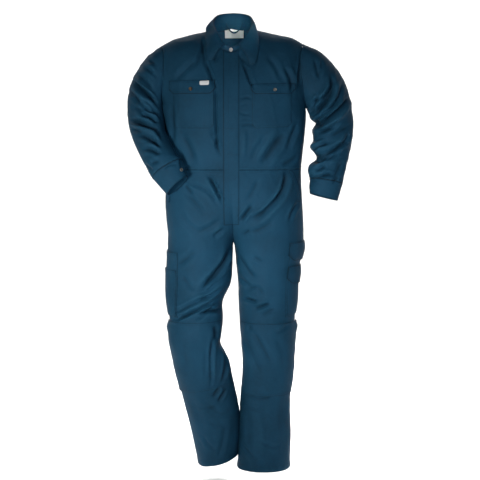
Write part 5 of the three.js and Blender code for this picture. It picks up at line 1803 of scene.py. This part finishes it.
def build_chest_patches(suit: Suit) -> None:
    """Builds the chest pockets, their flaps and the tag."""
    for patch in FRONT_PATCHES:
        is_label = patch.name == "flap_tag"
        width, height = abs(patch.side[0] - patch.middle[0]), patch.middle[1] - patch.middle[2]
        u = steps(0, 1, width, extra=not is_label)[None, :]
        v = steps(0, 1, height, extra=not is_label)[:, None]
        cut = patch.corner * np.clip(1 - np.minimum(u, 1 - u) * 10, 0, 1)
        top = mix(patch.middle[1], patch.side[1], u)
        bottom = mix(patch.middle[2], patch.side[2], u) + cut
        across = mix(patch.middle[0], patch.side[0], u)
        points = body_point(Face.FRONT, across, mix(top, bottom, v))
        columns, rows = patch_edges(patch.name)
        suit.panels[patch.name] = panel(
            points,
            FORWARDS,
            [Region.BODY],
            thick=LABEL_WALL if is_label else CLOTH,
            lift=patch_lift(patch, u, v),
            columns=columns,
            rows=rows,
        )
        if not is_label:
            suit.sew_columns(patch.name, PATCH_ROWS)
            suit.sew_rows(patch.name, PATCH_ROWS)


def build_hip_pockets(suit: Suit) -> None:
    """Builds the bound edges of the slanting hip pockets."""
    for side in Side:
        across, down = steps(0, 1, 13, extra=False, length=2.2), steps(0, 1, 110, extra=False)
        z = mix(WAIST_Z - 4, -588, down)[:, None]
        slant = mix(207, 238, np.sin(np.pi / 2 * down))[:, None]
        narrower = 16 if side is Side.RIGHT else 0  # the right hip is the slimmer one
        points = body_point(Face.FRONT, side.sign * (slant - narrower - 13 * across[None, :]), z)
        name = f"hip_pocket_edge_{side.title}"
        suit.panels[name] = panel(
            points,
            FORWARDS,
            [Region.BODY],
            lift=LAYER,
            columns=(Edge(curl=0.8, reach=4, dark=2.0), PLAIN),
            rows=BARE,
        )
        suit.sew_columns(name, (2.0,))


def build_leg_patches(suit: Suit) -> None:
    """Builds the pockets, flaps and patches on the legs."""
    for patch in LEG_PATCHES:
        girth = THIGH_GIRTH * (patch.around[1] - patch.around[0])
        u = steps(0, 1, girth)[None, :]
        v = steps(0, 1, patch.heights[0] - patch.heights[1])[:, None]
        around, z = mix(*patch.around, u), mix(*patch.heights, v)
        cut = patch.corner * np.clip(1 - np.minimum(u, 1 - u) * 8, 0, 1) * v
        points = leg_point(patch.side, around, z + cut)
        opposite = float(np.mean(patch.around)) + 0.5
        far = leg_point(patch.side, opposite, float(np.mean(patch.heights)))
        hint = points[len(v) // 2, u.size // 2] - far
        columns, rows = patch_edges(patch.name)
        lift = patch_lift(patch, u, v)
        if "knee" in patch.name:  # the pad pocket's outer top corner stands out
            lift = lift + KNEE_CORNER * np.exp(-(((1 - u) / 0.13) ** 2) - ((v - 0.09) / 0.07) ** 2)
        suit.panels[patch.name] = panel(
            points, hint, leg_regions(patch.side), lift=lift, columns=columns, rows=rows
        )
        suit.sew_columns(patch.name, PATCH_ROWS)
        suit.sew_rows(patch.name, PATCH_ROWS)


def build_collar(suit: Suit) -> None:
    """Builds the collar's leaf and stand."""
    whole = steps(-1, 1, 480)
    drop = steps(0, 1, 66)
    leaf = leaf_point(whole[None, :], drop[:, None])
    up = np.array([0.0, 0.6, 1.0])
    suit.panels["collar_leaf"] = panel(
        leaf,
        up,
        thick=2.0,
        lift=0.5 * wander(leaf, 60, 21),
        columns=BARE,
        rows=(PLAIN, Edge(curl=0.6)),
    )
    suit.sew_columns("collar_leaf", (5.5,))
    suit.sew_rows("collar_leaf", (5.5,), first=False)
    whole = steps(-0.998, 0.998, 440)
    stand = stand_point(whole[None, :], steps(-0.04, 1, 36)[:, None])
    suit.panels["collar_stand"] = panel(stand, BACKWARDS, thick=1.8, columns=BARE, rows=BARE)
    suit.sew_rows("collar_stand", (2.5,))


def build_neck_details(suit: Suit) -> None:
    """Builds the bare label inside the neck and the hanging loop in front of it."""
    across, down = steps(0, 1, 66, extra=False), steps(0, 1, 33, extra=False)
    points = body_point(Face.BACK, (10 + 66 * (across - 0.5))[None, :], mix(11, -22, down)[:, None])
    suit.panels["neck_label"] = panel(
        points, BACKWARDS, thick=LABEL_WALL, lift=-LAYER, columns=BARE, rows=BARE
    )
    share = steps(0, 1, 70, extra=False, length=3)[None, :]
    rise = steps(0, 1, 6, extra=False, length=2)[:, None]
    hang = np.sin(np.pi * share) ** 0.8
    points = stack(10 + 58 * (share - 0.5), 49 - 9 * hang, 22 - 31 * hang + 6 * (rise - 0.5))
    suit.panels["hanger_loop"] = panel(points, FORWARDS, thick=1.4, columns=BARE, rows=BARE)


# Lines sewn through the fronts, as seen from the front
FRONT_SEWING = (
    ((-21, -172), (76, -172)),
    ((8, -176), (8, -196)),
    ((27, -176), (27, -196)),
    ((-20, -336), (25, -336)),
    ((-20, -424), (25, -424)),
    ((-13, -455), (14, -455)),
    ((-13, -505), (14, -505)),
    ((-13, -558), (14, -558)),
    ((-13, -602), (14, -602)),
    ((-80, -482), (-46, -482)),
    ((-80, -493), (-46, -493)),
    ((92, -482), (112, -482)),
    ((92, -491), (112, -491)),
)


def sew_on_front(suit: Suit) -> None:
    """Lays the sewn lines that cross the fronts onto their surface."""
    names = ("front_right", "front_left", "leg_front_right", "leg_front_left", "placket")
    vertices, faces, count = [], [], 0
    for name in names:
        grid = suit.panels[name].outer
        quads, outer = quads_of(grid.shape[:2], False)
        vertices += grid.reshape(-1, 3).tolist()
        faces += (quads[outer] + count).tolist()
        count += grid.shape[0] * grid.shape[1]
    tree = BVHTree.FromPolygons(vertices, faces)
    for path in FRONT_SEWING:
        ends = np.array(path, float)
        line = []
        for t in np.linspace(0, 1, 24):
            x, z = mix(ends[0], ends[1], t)
            hit = tree.ray_cast(Vector((x, -400, z)), Vector((0, 1, 0)))[0]
            if hit is not None:
                line.append((hit.x, hit.y - 0.2, hit.z))
        suit.sew_line("placket", np.array(line))


def build_suit() -> Suit:
    """Builds every sewn piece of the suit."""
    suit = Suit()
    build_upper_body(suit)
    build_legs(suit)
    build_sleeves(suit)
    build_placket(suit)
    build_chest_patches(suit)
    build_hip_pockets(suit)
    build_leg_patches(suit)
    build_collar(suit)
    build_neck_details(suit)
    sew_on_front(suit)
    return suit


# ---------------------------------------------------------------- the studio


def point_at(thing: bpy.types.Object, place: Sequence[float], aim: Sequence[float]) -> None:
    """Places a light or camera and points it at something."""
    thing.location = place
    thing.rotation_mode = "QUATERNION"
    thing.rotation_quaternion = (Vector(aim) - Vector(place)).to_track_quat("-Z", "Y")


def soft_light(
    name: str,
    place: Sequence[float],
    aim: Sequence[float],
    size: float,
    watts: float,
    tint: str,
    spread: float = 180.0,
) -> None:
    """Adds a soft square light, with a grid that narrows its beam where spread is small."""
    data = bpy.data.lights.new(name, "AREA")
    data.size, data.energy, data.color = size, watts, colour(tint)[:3]
    data.spread = math.radians(spread)
    light = add_object(name, data)
    point_at(light, place, aim)


def build_backdrop() -> None:
    """Builds a seamless floor that curves up into a wall behind the suit."""
    reach, floor_z, wall_y, turn, top = 9.0, -1.60, 5.6, 1.2, 6.0
    angles = np.linspace(0, math.pi / 2, 13)
    line = [(-8.0, floor_z)]
    line += [
        (wall_y - turn + turn * math.sin(a), floor_z + turn - turn * math.cos(a)) for a in angles
    ]
    line.append((wall_y, top))
    vertices = [(x, y, z) for y, z in line for x in (-reach, reach)]
    faces = [(2 * n, 2 * n + 1, 2 * n + 3, 2 * n + 2) for n in range(len(line) - 1)]
    mesh = bpy.data.meshes.new("studio_floor")
    mesh.from_pydata(vertices, [], faces)
    mesh.polygons.foreach_set("use_smooth", np.ones(len(faces), bool))
    mesh.materials.append(plain_material(FLOOR))
    add_object("studio_floor", mesh)


def build_studio() -> None:
    """Builds the floor, the lights, the surroundings and the camera."""
    build_backdrop()
    world = bpy.data.worlds.new("studio")
    bpy.context.scene.world = world
    world.use_nodes = True
    background = world.node_tree.nodes["Background"]
    background.inputs["Color"].default_value = colour("eef3f8")
    background.inputs["Strength"].default_value = 0.03
    aim = (0.0, 0.0, -0.72)
    soft_light("key", (-1.15, -2.5, -0.8), aim, 0.4, 3.7, "fffaf2", 46)
    soft_light("collar", (0.3, -3.2, 0.25), (0.01, 0.04, -0.004), 0.11, 0.04, "fffaf2", 2.6)
    soft_light("fill", (0.6, -3.35, -0.35), aim, 0.4, 2.7, "f2f7ff", 46)
    soft_light("backdrop_left", (-3.2, 2.6, 1.8), (-0.7, 5.6, -0.9), 1.8, 190, "ffffff")
    soft_light("backdrop_right", (3.2, 2.6, 1.8), (0.7, 5.6, -0.9), 1.8, 190, "ffffff")
    soft_light("floor", (0.0, 2.4, 1.6), (0.0, 1.1, -1.6), 1.6, 45, "ffffff", 64)

    data = bpy.data.cameras.new("camera")
    data.lens, data.sensor_width = 86.5, 36.0
    camera = add_object("camera", data)
    point_at(camera, (0.030, -4.0, -0.300), (0.030, 0.0, -0.725))
    bpy.context.scene.camera = camera
    bpy.context.scene.view_settings.view_transform = "Standard"


def dress(suit: Suit, frame: dict) -> None:
    twill = twill_material(PETROL_TWILL)
    tape = plain_material(LABEL_TAPE)
    thread = plain_material(THREAD)
    group = stitch_group()
    for name, made in suit.panels.items():
        is_label = name in ("flap_tag", "neck_label")
        piece = panel_object(f"cloth_{name}", made, tape if is_label else twill)
        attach(piece, "root")
        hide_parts(name)
    for name, lines in suit.stitches.items():
        sewn = sew(f"stitches_{name}", lines, group, thread)
        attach(sewn, "root")
    nickel, bronze = metal_material(NICKEL), metal_material(BRONZE)
    for name, node in frame["nodes"].items():
        if name.startswith("snap_"):
            node.data.materials.clear()
            node.data.materials.append(bronze if name == "snap_chest_right" else nickel)


def main() -> None:
    """Builds the scene."""
    logging.basicConfig(level=logging.INFO, format="%(name)s: %(message)s")
    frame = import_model()
    dress(build_suit(), frame)
    build_studio()


if __name__ == "__main__":
    main()
